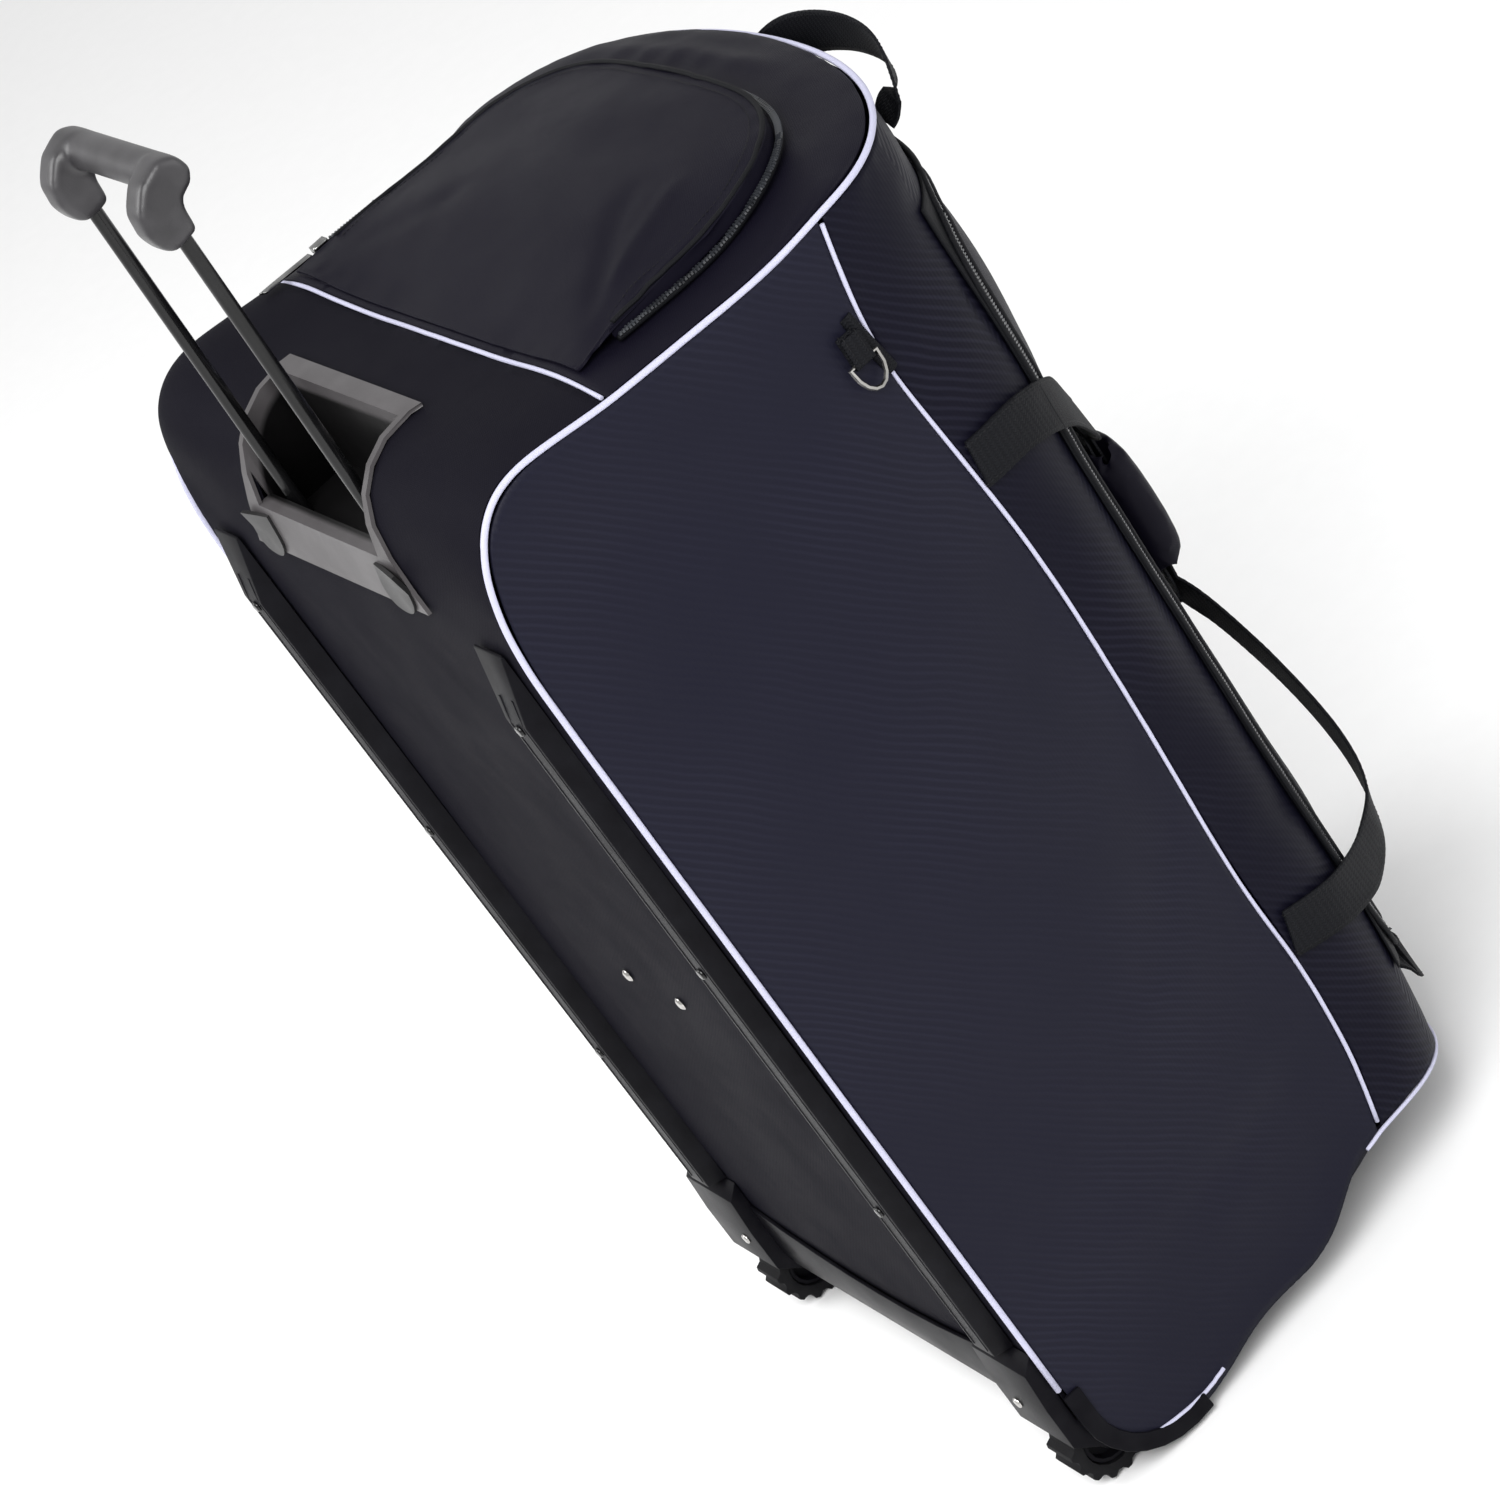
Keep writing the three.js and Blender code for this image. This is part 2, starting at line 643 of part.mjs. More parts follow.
/** Height of the bottom end's cloth, flat where the bag rests on it. */
function bottomHeight(x, depth) {
  const share = rimShare(x, depth, frontHem(x));
  const hem = mix(hemHeight(depth), frontHem(x), rise(SIDE_DEPTH * 0.85, SIDE_DEPTH, depth));
  const heel = hemHeight(HEEL_RADIUS) + CLOTH;
  const backLift = heel * (1 - rise(HEEL_RADIUS + 22, HEEL_RADIUS + 62, depth));
  const sideLift = hem * rise(0.62, 1, share);
  return Math.max(backLift, sideLift);
}

const bottomEnd = endGrid(HEEL_RADIUS + 6, frontHem, CLOTH + 3 * GAP, bottomHeight, 12, 12);
piece("bottom_end_panel", sheet(bottomEnd, CLOTH), BLACK_CLOTH);

/** Grid on the lid between given turns and shares of its height. */
function lidGrid(turns, shares, stand = () => 0) {
  return shares.map((v) => turns.map((turn) => {
    const x = lidPoint(turn, RIM_LIFT).x;
    const low = frontHem(x) + THIN_INSET;
    const high = BAG_HEIGHT - THICK_INSET;
    const z = mix(low, high, v);
    const limit = turnPastSeam(z, THIN_INSET);
    const held = THREE.MathUtils.clamp(turn, -limit, limit);
    return lidPoint(held, z, stand(turn, v));
  }));
}

const flapSlit = 0.008;
const zipReach = 1.09 * FLAP_TURN;
const gussetTurns = [zipReach, ...steps(4).slice(1).map((s) => mix(zipReach, 1, s))];
const innerTurns = [0.4, 0.68, 0.92, 1].map((s) => s * FLAP_TURN);
const halfTurns = [...innerTurns, ...gussetTurns];
const surroundTurns = [...halfTurns.map((t) => -t).reverse(), 0, ...halfTurns];
const lidShares = [FLAP_LOW + 0.055, 0.22, 0.31, 0.41, 0.51, 0.6, 0.69, 0.77, FLAP_HIGH - 0.055];
const surroundShares = [0, 0.05, FLAP_LOW, ...lidShares, FLAP_HIGH, 0.96, 1];
const inFlap = (i, j) => surroundShares[i] >= FLAP_LOW && surroundShares[i + 1] <= FLAP_HIGH
  && surroundTurns[j] >= -FLAP_TURN && surroundTurns[j + 1] <= FLAP_TURN;
piece("lid_surround",
  sheet(lidGrid(surroundTurns, surroundShares), CLOTH, (i, j) => !inFlap(i, j)), BLACK_CLOTH);

/** Puff of the flap over the lid's surface: none along its zip, full in its middle. */
function flapPuff(turn, share) {
  const across = 1 - rise(0.3, 0.87, Math.abs(turn) / FLAP_TURN);
  const along = Math.min(rise(FLAP_LOW + 0.02, FLAP_LOW + 0.09, share),
    1 - rise(FLAP_HIGH - 0.09, FLAP_HIGH - 0.02, share));
  return FLAP_PUFF * across * along;
}

const flapEdge = FLAP_TURN - flapSlit;
const flapTurns = [-1, -0.88, -0.68, -0.4, 0, 0.4, 0.68, 0.88, 1].map((s) => s * flapEdge);
const flapShares = [FLAP_LOW + 0.004, FLAP_LOW + 0.02, ...lidShares, FLAP_HIGH - 0.02, FLAP_HIGH - 0.004];
piece("lid_flap", sheet(lidGrid(flapTurns, flapShares, flapPuff), CLOTH), BLACK_CLOTH);

const zipTurns = [-1.09, -0.92, -0.68, -0.4, 0, 0.4, 0.68, 0.92, 1.09].map((s) => s * FLAP_TURN);
const zipShares = [FLAP_LOW - 0.01, FLAP_LOW + 0.013, ...lidShares, FLAP_HIGH - 0.013, FLAP_HIGH + 0.01];
const zipRing = (i, j) => i === 0 || j === 0 || i === zipShares.length - 2 || j === zipTurns.length - 2;
const zipStand = ZIP_TAPE + 3 * GAP;
piece("lid_zip", sheet(lidGrid(zipTurns, zipShares, () => zipStand), ZIP_TAPE, zipRing), BLACK_PLASTIC);

// End pocket: a puffed panel over the top end, its edge a standing zip

/** Point of the pocket's outline: share 0 at its near back corner, 1 at its far back corner. */
function pocketEdge(share, inset) {
  const angle = (share - 0.5) * Math.PI;
  const x = (POCKET_WIDTH / 2 - inset) * squared(Math.sin(angle), 4);
  const depth = END_SEAM_DEPTH + 8 + (POCKET_REACH - 8 - inset) * squared(Math.max(Math.cos(angle), 0), 4);
  return { x, depth };
}

const POCKET_BACK = END_SEAM_DEPTH + 8;

/** Point of the pocket's face: share 0 at its back edge, 1 at its rim, standing off the top end. */
function pocketPoint(round, share, standShare) {
  const rim = pocketEdge(round, 0);
  const depth = mix(POCKET_BACK, rim.depth, share);
  const back = rise(0, 0.35, share);
  const edge = (1 - (Math.abs(rim.x) * 2 / POCKET_WIDTH) ** 4) * (1 - share ** 4);
  const slack = 1 - FAR_SLACK * rise(0, POCKET_WIDTH / 2, rim.x);
  const lower = mix(0.2, 1, rise(POCKET_BACK, POCKET_BACK + 70, depth));
  const corner = mix(1, lower, rise(0.75, 1, Math.abs(rim.x) * 2 / POCKET_WIDTH));
  const puff = (POCKET_EDGE * back + POCKET_PUFF * Math.min(edge, back)) * slack * corner * standShare;
  return new THREE.Vector3(rim.x, -depth, topHeight(rim.x, depth) + CLOTH + 3 * GAP + puff);
}

const pocketRows = [0, 0.05, 0.2, 0.4, 0.6, 0.8, 0.93, 1].map((share) => ({ share, stand: 1 }));
pocketRows.push({ share: 1, stand: 0 });
const pocketGrid = pocketRows.map((row) => steps(12).map((u) => (
  pocketPoint(mix(0.006, 0.994, u), row.share, row.stand))));
piece("end_pocket", sheet(pocketGrid, CLOTH), BLACK_CLOTH);

const pocketZip = resample(steps(120).map((s) => {
  const rim = pocketEdge(s, -POCKET_ZIP_RADIUS - 3 * GAP);
  return new THREE.Vector3(rim.x, -rim.depth, topHeight(rim.x, rim.depth) + POCKET_ZIP_RADIUS + 3 * GAP);
}), 24).slice(1, -1);
piece("pocket_zip", tube(pocketZip, POCKET_ZIP_RADIUS, 6), BLACK_PLASTIC);

/** Flat strip along a row of points, with its width level. */
function strip(path, width, thickness) {
  const rings = path.map((point, i) => {
    const before = path[Math.max(i - 1, 0)];
    const after = path[Math.min(i + 1, path.length - 1)];
    const along = after.clone().sub(before).normalize();
    const across = new THREE.Vector3(-along.y, along.x, 0).normalize().multiplyScalar(width / 2);
    const over = new THREE.Vector3(0, 0, thickness / 2);
    return [point.clone().sub(across).sub(over), point.clone().add(across).sub(over),
      point.clone().add(across).add(over), point.clone().sub(across).add(over)];
  });
  return loft(rings);
}

// The zip's slider sits past its far end, and the pull lies from there over the end seam
const zipEnd = pocketZip[pocketZip.length - 1].clone().add(new THREE.Vector3(SLIDER_OUT, 0, 3 * GAP));
const zipWay = new THREE.Vector3(0, 1, 0);
const sliderPath = [GAP, GAP + SLIDER_LENGTH].map((along) => zipEnd.clone().addScaledVector(zipWay, along));
piece("pocket_slider", strip(sliderPath, SLIDER_WIDTH, SLIDER_THICK), BLACK_METAL);
const pullStart = sliderPath[1].clone().addScaledVector(zipWay, PULL_WIDTH / 2);
const pullPath = steps(4).map((s) => {
  const x = pullStart.x - PULL_SWAY * s ** 3;
  const y = pullStart.y + PULL_LENGTH * s;
  return new THREE.Vector3(x, y, topHeight(x, -y) + THIN_PIPING);
});
piece("pocket_pull", strip(pullPath, PULL_WIDTH, PULL_THICK), BLACK_PLASTIC);

// Piping

/** The thick piping's route on the near half, from its foot on the back to the crown. */
function thickRoute() {
  const half = [
    ...[PIPING_FOOT, 300, 540].map((z) => new THREE.Vector3(-HALF, 0, z)),
    ...steps(9).map((s) => shoulderPoint(s, 0).setX(-HALF)),
    ...steps(8).slice(1).map((s) => {
      const depth = mix(SHOULDER_DEPTH, seamDepth(BAG_HEIGHT), s);
      return new THREE.Vector3(-HALF, -depth, topHeight(HALF, depth));
    }),
    ...steps(10).slice(1).map((s) => lidPoint(s - 1, BAG_HEIGHT)),
  ];
  const far = half.slice(0, -1).reverse().map((p) => new THREE.Vector3(-p.x, p.y, p.z));
  return [...half, ...far];
}
piece("thick_piping", tube(thickRoute(), THICK_R, 6), PIPING);

for (const { side, sign } of SIDES) {
  const foot = RIM_LIFT + 2 * THIN_PIPING + GAP;
  const head = BAG_HEIGHT - THICK_R - THIN_R - GAP - 2;
  const route = steps(16).map((s) => {
    const z = mix(foot, head, s);
    return new THREE.Vector3(sign * (HALF + 0.4), -seamDepth(z), z);
  });
  piece(`thin_piping_${side}`, tube(route, THIN_R, 6), PIPING);
}

const endSeamHalf = HALF - THICK_R - THIN_R - GAP;
const endSeam = steps(10).map((s) => {
  const x = mix(-endSeamHalf, endSeamHalf, s);
  return new THREE.Vector3(x, -END_SEAM_DEPTH, topHeight(x, END_SEAM_DEPTH) + 0.3);
});
piece("end_seam_piping", tube(endSeam, THIN_R, 6), PIPING);

const hemStart = 0.88 * SIDE_DEPTH;
const hemHalf = [
  ...steps(2).slice(0, 2).map((s) => {
    const depth = mix(hemStart, seamDepth(RIM_LIFT), s);
    return new THREE.Vector3(-HALF, -depth, hemHeight(depth) - 2.5 * SEAM_GAP);
  }),
  ...steps(10).map((s) => {
    const x = HALF * Math.sin((s - 1) * Math.PI / 2);
    const z = frontHem(x);
    return new THREE.Vector3(x, -domeDepth(x, z, 0), z);
  }),
];
const hemFar = hemHalf.slice(0, -1).reverse().map((p) => new THREE.Vector3(-p.x, p.y, p.z));
const hemRoute = [...hemHalf, ...hemFar];
piece("bottom_piping", tube(hemRoute, THIN_R, 6), PIPING);

// Wheel end: a moulded heel plate between two wheel housings

/** Point on the outer face of the heel plate: row 0 is its curved upper edge. */
function platePoint(x, row) {
  const edge = mix(PLATE_EDGE_LOW, PLATE_EDGE_HIGH, (x / (WHEEL_SPREAD - HOUSING_WIDTH / 2)) ** 2);
  const stand = PLATE + 2 * GAP;
  if (row === 0) return new THREE.Vector3(x, stand, edge);
  if (row === 8) return new THREE.Vector3(x, -HEEL_RADIUS - 15, hemHeight(HEEL_RADIUS) - stand);
  return heelPoint((row - 1) / 6, -stand).setX(x);
}

const housingInner = WHEEL_SPREAD - HOUSING_WIDTH / 2;
const plateHalf = housingInner - GAP;
const plateGrid = Array.from({ length: 9 }, (_, row) => (
  steps(8).map((s) => platePoint(mix(-plateHalf, plateHalf, s), row))));
piece("heel_plate", sheet(plateGrid, PLATE), GREY_PLASTIC);

const wheelY = -WHEEL_SETBACK;
const wheelRoom = WHEEL_RADIUS + WHEEL_CLEARANCE;
const housingOutline = [
  [2 * GAP, HOUSING_TOP],
  [HOUSING_STAND - 2, HOUSING_TOP - 11],
  [HOUSING_STAND, HOUSING_TOP - 46],
  [HOUSING_STAND, WHEEL_RADIUS * 1.85],
  [wheelY, WHEEL_RADIUS],
  [wheelY - wheelRoom - 3, WHEEL_RADIUS * 0.35],
  [wheelY - wheelRoom - 3, WHEEL_RADIUS * 1.2],
  [wheelY - wheelRoom * 0.75, WHEEL_RADIUS * 2],
  [wheelY, WHEEL_RADIUS + wheelRoom + 6],
  [2 * GAP, WHEEL_RADIUS + wheelRoom + 8],
];
for (const { side, sign } of SIDES) {
  const middle = sign * WHEEL_SPREAD;
  const low = middle - HOUSING_WIDTH / 2;
  const high = middle + HOUSING_WIDTH / 2;
  const wellHalf = WHEEL_WIDTH / 2 + WHEEL_CLEARANCE;
  const well = acrossCylinder(wheelRoom, middle - wellHalf, middle + wellHalf, wheelY, WHEEL_RADIUS, 24);
  const axleHalf = wellHalf + 9;
  const bore = acrossCylinder(AXLE_RADIUS + GAP, middle - axleHalf, middle + axleHalf, wheelY,
    WHEEL_RADIUS, 12);
  const housing = solid(acrossPrism(housingOutline, low, high)).subtract(solid(well)).subtract(solid(bore));
  piece(`wheel_housing_${side}`, fromSolid(housing), GREY_PLASTIC);
  const axle = acrossCylinder(AXLE_RADIUS, middle - axleHalf + GAP, middle + axleHalf - GAP, wheelY,
    WHEEL_RADIUS, 12);
  piece(`axle_${side}`, axle, NICKEL);

  const tread = new THREE.Shape();
  const lugs = steps(TREAD_LUGS * 4).slice(0, -1).map((s, k) => {
    const radius = k % 4 < 2 ? WHEEL_RADIUS : WHEEL_RADIUS - TREAD_DEPTH;
    const angle = 2 * Math.PI * (s - 0.5 / (TREAD_LUGS * 4)) - Math.PI / 2;
    return new THREE.Vector2(radius * Math.cos(angle), radius * Math.sin(angle));
  });
  tread.setFromPoints(lugs);
  const eye = new THREE.Path();
  eye.setFromPoints(steps(20).slice(0, -1).map((s) => (
    new THREE.Vector2(HUB_RADIUS * Math.cos(2 * Math.PI * s), HUB_RADIUS * Math.sin(2 * Math.PI * s)))));
  tread.holes.push(eye);
  const tyre = new THREE.ExtrudeGeometry(tread, { depth: WHEEL_WIDTH, bevelEnabled: false });
  tyre.rotateX(Math.PI / 2).rotateZ(Math.PI / 2).translate(-WHEEL_WIDTH / 2, 0, 0);
  piece(`tyre_${side}`, tyre.translate(middle, wheelY, WHEEL_RADIUS), RUBBER);

  const rim = HUB_RADIUS * Math.cos(Math.PI / 20) - GAP;
  const bossHalf = WHEEL_WIDTH / 2;
  const eyeRadius = AXLE_RADIUS + GAP;
  const lip = bossHalf - 2;
  const profile = [
    [eyeRadius, -bossHalf], [HUB_BOSS, -bossHalf], [HUB_BOSS, -HUB_WEB], [rim - HUB_RIM, -HUB_WEB],
    [rim - HUB_RIM, -lip], [rim, -lip], [rim, lip], [rim - HUB_RIM, lip], [rim - HUB_RIM, HUB_WEB],
    [HUB_BOSS, HUB_WEB], [HUB_BOSS, bossHalf], [eyeRadius, bossHalf], [eyeRadius, -bossHalf],
  ];
  const hub = new THREE.LatheGeometry(profile.map(([r, h]) => new THREE.Vector2(r, h)), 16);
  piece(`hub_${side}`, hub.rotateZ(Math.PI / 2).translate(middle, wheelY, WHEEL_RADIUS), GREY_PLASTIC);

  const guard = [...steps(1).map((s) => flat(0, mix(PIPING_FOOT - 7, heelPoint(0, 0).z + 4, s))),
    ...steps(7).map((s) => heelPoint(s, 0)),
    flat(-HEEL_RADIUS - 17, hemHeight(HEEL_RADIUS + 17))];
  const guardGrid = guard.map((at, i) => {
    const before = guard[Math.max(i - 1, 0)];
    const after = guard[Math.min(i + 1, guard.length - 1)];
    const along = after.clone().sub(before).normalize();
    const inward = new THREE.Vector3(0, along.z, -along.y);
    return steps(3).map((s) => {
      const point = at.clone().addScaledVector(inward, mix(-1.5, GUARD_WIDTH, s));
      point.x = sign * (HALF + sideBulge(point.y, point.z) + PLATE + GAP);
      return point;
    });
  });
  piece(`corner_guard_${side}`, sheet(guardGrid, PLATE), GREY_PLASTIC);
}

// Rails, their screws, and the rivets between them

/** Section of a rail at a height, with its crown lowered by a share. */
function railRing(middle, z, share) {
  const top = mix(RAIL_BASE / 2 - 2, RAIL_CROWN / 2, share);
  const height = GAP + Math.max(RAIL_HEIGHT * share, 1.5);
  return [[-RAIL_BASE / 2, GAP], [-top, height], [top, height], [RAIL_BASE / 2, GAP]]
    .map(([x, y]) => new THREE.Vector3(middle + x, y, z));
}

const railFoot = HOUSING_TOP + 2 * GAP;
const screwHeights = [RAIL_TOP - RAIL_RAMP - 5, (RAIL_TOP + railFoot) / 2 + 50, railFoot + 150];
for (const { side, sign } of SIDES) {
  const middle = sign * RAIL_SPREAD;
  const rings = [railRing(middle, railFoot, 1), railRing(middle, RAIL_TOP - RAIL_RAMP, 1),
    railRing(middle, RAIL_TOP, 0)];
  piece(`rail_${side}`, loft(rings), BLACK_PLASTIC);
  screwHeights.forEach((z, k) => {
    const head = new THREE.CylinderGeometry(SCREW_RADIUS * 0.8, SCREW_RADIUS, SCREW_HEAD, 10);
    head.translate(middle, 2 * GAP + RAIL_HEIGHT + SCREW_HEAD / 2, z);
    piece(`rail_screw_${side}_${k + 1}`, head, BLACK_METAL);
  });
  const rivet = new THREE.CylinderGeometry(RIVET_RADIUS * 0.6, RIVET_RADIUS, SCREW_HEAD, 12);
  piece(`rivet_${side}`, rivet.translate(sign * RIVET_SPREAD, GAP + SCREW_HEAD / 2, RIVET_HEIGHT), NICKEL);
  const bolt = new THREE.CylinderGeometry(SCREW_RADIUS * 0.8, SCREW_RADIUS, SCREW_HEAD, 10);
  bolt.translate(sign * (WHEEL_SPREAD - 14), HOUSING_STAND + GAP + SCREW_HEAD / 2, HOUSING_TOP - 60);
  piece(`housing_screw_${side}`, bolt, NICKEL);
}

// Trolley: a moulded recess over the shoulder, two guide tubes, two rods and a grip

const recessHalf = RECESS_WIDTH / 2;
const lean = new THREE.Matrix4().makeRotationX(ROD_LEAN);

/** Cylinder along a rod's line, between two heights, with its ends square to the rod. */
function rodCylinder(x, radius, lowZ, highZ, sides) {
  const length = (highZ - lowZ) / Math.cos(ROD_LEAN);
  const cylinder = new THREE.CylinderGeometry(radius, radius, length, sides);
  const offset = ((highZ + lowZ) / 2 - ROD_TOP) / Math.cos(ROD_LEAN);
  return cylinder.rotateX(Math.PI / 2).translate(0, 0, offset).applyMatrix4(lean)
    .translate(x, -ROD_TOP_DEPTH, ROD_TOP);
}

// Width of the bezel from its edge on the top to its foot on the back, as shares of its length
const BEZEL_ROWS = [
  { along: 0, wide: 1 },
  { along: 0.1, wide: 0.99 },
  { along: 0.3, wide: 0.985 },
  { along: 0.55, wide: 1.0 },
  { along: 0.78, wide: 1.13 },
  { along: 1, wide: BEZEL_FOOT_WIDTH / BEZEL_TOP_WIDTH },
];

/** Grid of the bezel over the back's surface, standing off it. */
function bezelGrid(stand) {
  const start = shoulderPoint(0, 0).z;
  const foot = { y: 0, z: BEZEL_FOOT, ny: 1, nz: 0, crown: 0, turn: 0 };
  const shoulder = backRows(BACK_FOOT).filter((row) => row.z > Math.max(start, BEZEL_FOOT) - 0.1
    && -row.y <= SHOULDER_DEPTH + 0.1);
  const footShare = shoulderShareAt(BEZEL_FOOT);
  const at = shoulderPoint(footShare, 0);
  foot.y = at.y;
  foot.crown = shoulderCrown(footShare);
  const edgeZ = topHeight(HALF, BEZEL_EDGE_DEPTH);
  const edge = { y: -BEZEL_EDGE_DEPTH, z: edgeZ, ny: 0, nz: 1, crown: 1, turn: 1 };
  const rows = [edge, ...shoulder.reverse(), foot];
  const lengths = [0];
  for (let i = 1; i < rows.length; i += 1) {
    lengths.push(lengths[i - 1] + Math.hypot(rows[i].y - rows[i - 1].y, rows[i].z - rows[i - 1].z));
  }
  return rows.map((row, i) => {
    const along = lengths[i] / lengths[lengths.length - 1];
    const half = BEZEL_TOP_WIDTH / 2 * tableAt(BEZEL_ROWS, "along", "wide", along);
    const columns = [-1, -0.82, -0.4, 0, 0.4, 0.82, 1];
    return columns.map((c) => backPoint(row, c * half, stand));
  });
}

/** Everything under the bezel's outer face, as one solid for trimming. */
function underBezel(grid) {
  const sunk = new THREE.Vector3(0, -170, -170);
  const rows = grid.map((row) => row.map((p) => p.clone()));
  const count = rows[0].length;
  const size = rows.length * count;
  const points = [...rows.flat(), ...rows.flat().map((p) => p.clone().add(sunk))];
  const triangles = [];
  const quad = (a, b, c, d) => triangles.push([a, b, c], [a, c, d]);
  for (let i = 0; i < rows.length - 1; i += 1) {
    for (let j = 0; j < count - 1; j += 1) {
      const a = i * count + j;
      quad(a, a + count, a + count + 1, a + 1);
      quad(size + a, size + a + 1, size + a + count + 1, size + a + count);
    }
    const left = i * count;
    const right = left + count - 1;
    quad(left, size + left, size + left + count, left + count);
    quad(right, right + count, size + right + count, size + right);
  }
  for (let j = 0; j < count - 1; j += 1) {
    const end = (rows.length - 1) * count + j;
    quad(j, j + 1, size + j + 1, size + j);
    quad(end, size + end, size + end + 1, end + 1);
  }
  return closedGeometry(points, triangles);
}

const bezelOuter = bezelGrid(BEZEL_WALL + 2 * GAP);
const cupTop = BAG_HEIGHT + SHOULDER_DROP;
const behindBoard = shoulderPoint(shoulderShareAt(RECESS_SILL), 0).y - BOARD - 2 * GAP;
const cup = solid(block([-cupHalf, -RECESS_DEPTH - BEZEL_WALL, RECESS_FLOOR - BEZEL_WALL],
  [cupHalf, behindBoard, cupTop])).intersect(solid(underBezel(bezelOuter)));
const sill = solid(block([-cupHalf, behindBoard - BEZEL_WALL, RECESS_SILL - 2 * BEZEL_WALL],
  [cupHalf, GAP + BEZEL_WALL / 2, RECESS_SILL])).intersect(solid(underBezel(bezelOuter)));
const cavity = solid(block([-recessHalf, -RECESS_DEPTH, RECESS_FLOOR],
  [recessHalf, behindBoard - BEZEL_WALL, cupTop]));
const mouth = solid(block([-recessHalf, -RECESS_DEPTH, RECESS_SILL], [recessHalf, 60, cupTop]));
let trolley = solid(sheet(bezelOuter, BEZEL_WALL)).add(cup).add(sill).subtract(cavity).subtract(mouth);
for (const { sign } of SIDES) {
  trolley = trolley.subtract(solid(rodCylinder(sign * ROD_SPREAD, ROD_RADIUS + ROD_PLAY, RECESS_FLOOR - 12,
    RECESS_FLOOR + 12, 16)));
}
piece("trolley_housing", fromSolid(trolley), GREY_PLASTIC);

for (const { side, sign } of SIDES) {
  const x = sign * ROD_SPREAD;
  const tubeTop = RECESS_FLOOR - BEZEL_WALL - GAP - 0.3;
  const bore = solid(rodCylinder(x, ROD_RADIUS + ROD_PLAY, TUBE_FOOT - 5, tubeTop + 5, 16));
  const wall = solid(rodCylinder(x, ROD_RADIUS + ROD_PLAY + TUBE_WALL, TUBE_FOOT, tubeTop, 16));
  piece(`guide_tube_${side}`, fromSolid(wall.subtract(bore)), BLACK_METAL);
  piece(`rod_${side}`, rodCylinder(x, ROD_RADIUS, ROD_FOOT, ROD_TOP + ROD_SOCKET - GAP, 16), BLACK_METAL);
}

// Side outline of a grip hook, as distances from the rod's line and above the grip's foot
const HOOK_OUTLINE = [
  { out: -9, up: 1 }, { out: 10, up: 0 }, { out: 16, up: 5 }, { out: 20, up: 17 }, { out: 18, up: 34 },
  { out: 5, up: 49 }, { out: -14, up: 56 }, { out: -26, up: 50 }, { out: -30, up: 38 }, { out: -24, up: 29 },
  { out: -14, up: 26 }, { out: -11, up: 20 },
];
const BAR_BACK = 16;
const BAR_UP = 41;
const hookHalf = GRIP_WIDTH / 2;
const barY = -ROD_TOP_DEPTH - BAR_BACK;
const barZ = ROD_TOP + BAR_UP;
const barHalf = hookHalf - HOOK_WIDTH / 2;
const bar = acrossCylinder(GRIP_BAR / 2, -barHalf, barHalf, barY, barZ, 16);
let grip = solid(bar);
for (const { sign } of SIDES) {
  const outline = HOOK_OUTLINE.map(({ out, up }) => [-ROD_TOP_DEPTH + out, ROD_TOP + up]);
  const inner = hookHalf - HOOK_WIDTH - 4;
  const hook = acrossPrism(outline, sign < 0 ? -hookHalf : inner, sign < 0 ? -inner : hookHalf);
  grip = grip.add(solid(hook));
  const socket = rodCylinder(sign * ROD_SPREAD, ROD_RADIUS + GAP, ROD_TOP - 10,
    ROD_TOP + ROD_SOCKET, 16);
  grip = grip.subtract(solid(socket));
}
piece("grip", fromSolid(grip), GREY_PLASTIC);

// Carry straps: each is sewn to a side seam, rises over the lid and runs through the padded wrap.
// turn is the place round the lid, up the share of the bag's height, stand the height over the lid.
const STRAP_ROUTE = [
  { turn: -0.985, up: 0.766, stand: 4 },
  { turn: -0.8, up: 0.76, stand: 5.5 },
  { turn: -0.55, up: 0.725, stand: 7 },
  { turn: -0.36, up: 0.68, stand: 12 },
  { turn: -0.2, up: 0.63, stand: 26 },
];
const STRAP_RETURN = [
  { turn: -0.1, up: 0.4, stand: 44 },
  { turn: -0.17, up: 0.335, stand: 54 },
  { turn: -0.25, up: 0.27, stand: 56 },
  { turn: -0.34, up: 0.235, stand: 44 },
  { turn: -0.47, up: 0.23, stand: 22 },
  { turn: -0.65, up: 0.245, stand: 8 },
  { turn: -0.84, up: 0.262, stand: 5 },
  { turn: -0.985, up: 0.275, stand: 4 },
];
const WRAP_HIGH = WRAP_LOW + WRAP_LENGTH;

/** Ribbon of webbing along rows on the lid. */
function webbing(rows, width, sign) {
  const route = new THREE.CatmullRomCurve3(rows.map((row) => (
    new THREE.Vector3(-sign * row.turn * HALF, row.z, row.stand))), false, "centripetal");
  const place = (s, lift = 0) => {
    const at = route.getPoint(THREE.MathUtils.clamp(s, 0, 1));
    return lidPoint(at.x / HALF, at.y, at.z + lift);
  };
  const grid = steps(3 * (rows.length - 1)).map((s) => {
    const at = place(s);
    const along = place(s + 0.004).sub(place(s - 0.004));
    const outward = place(s, 1).sub(at);
    const across = along.cross(outward).normalize().multiplyScalar(width / 2);
    return [at.clone().sub(across), at.clone().add(across)];
  });
  return sheet(grid, WEBBING_THICK);
}

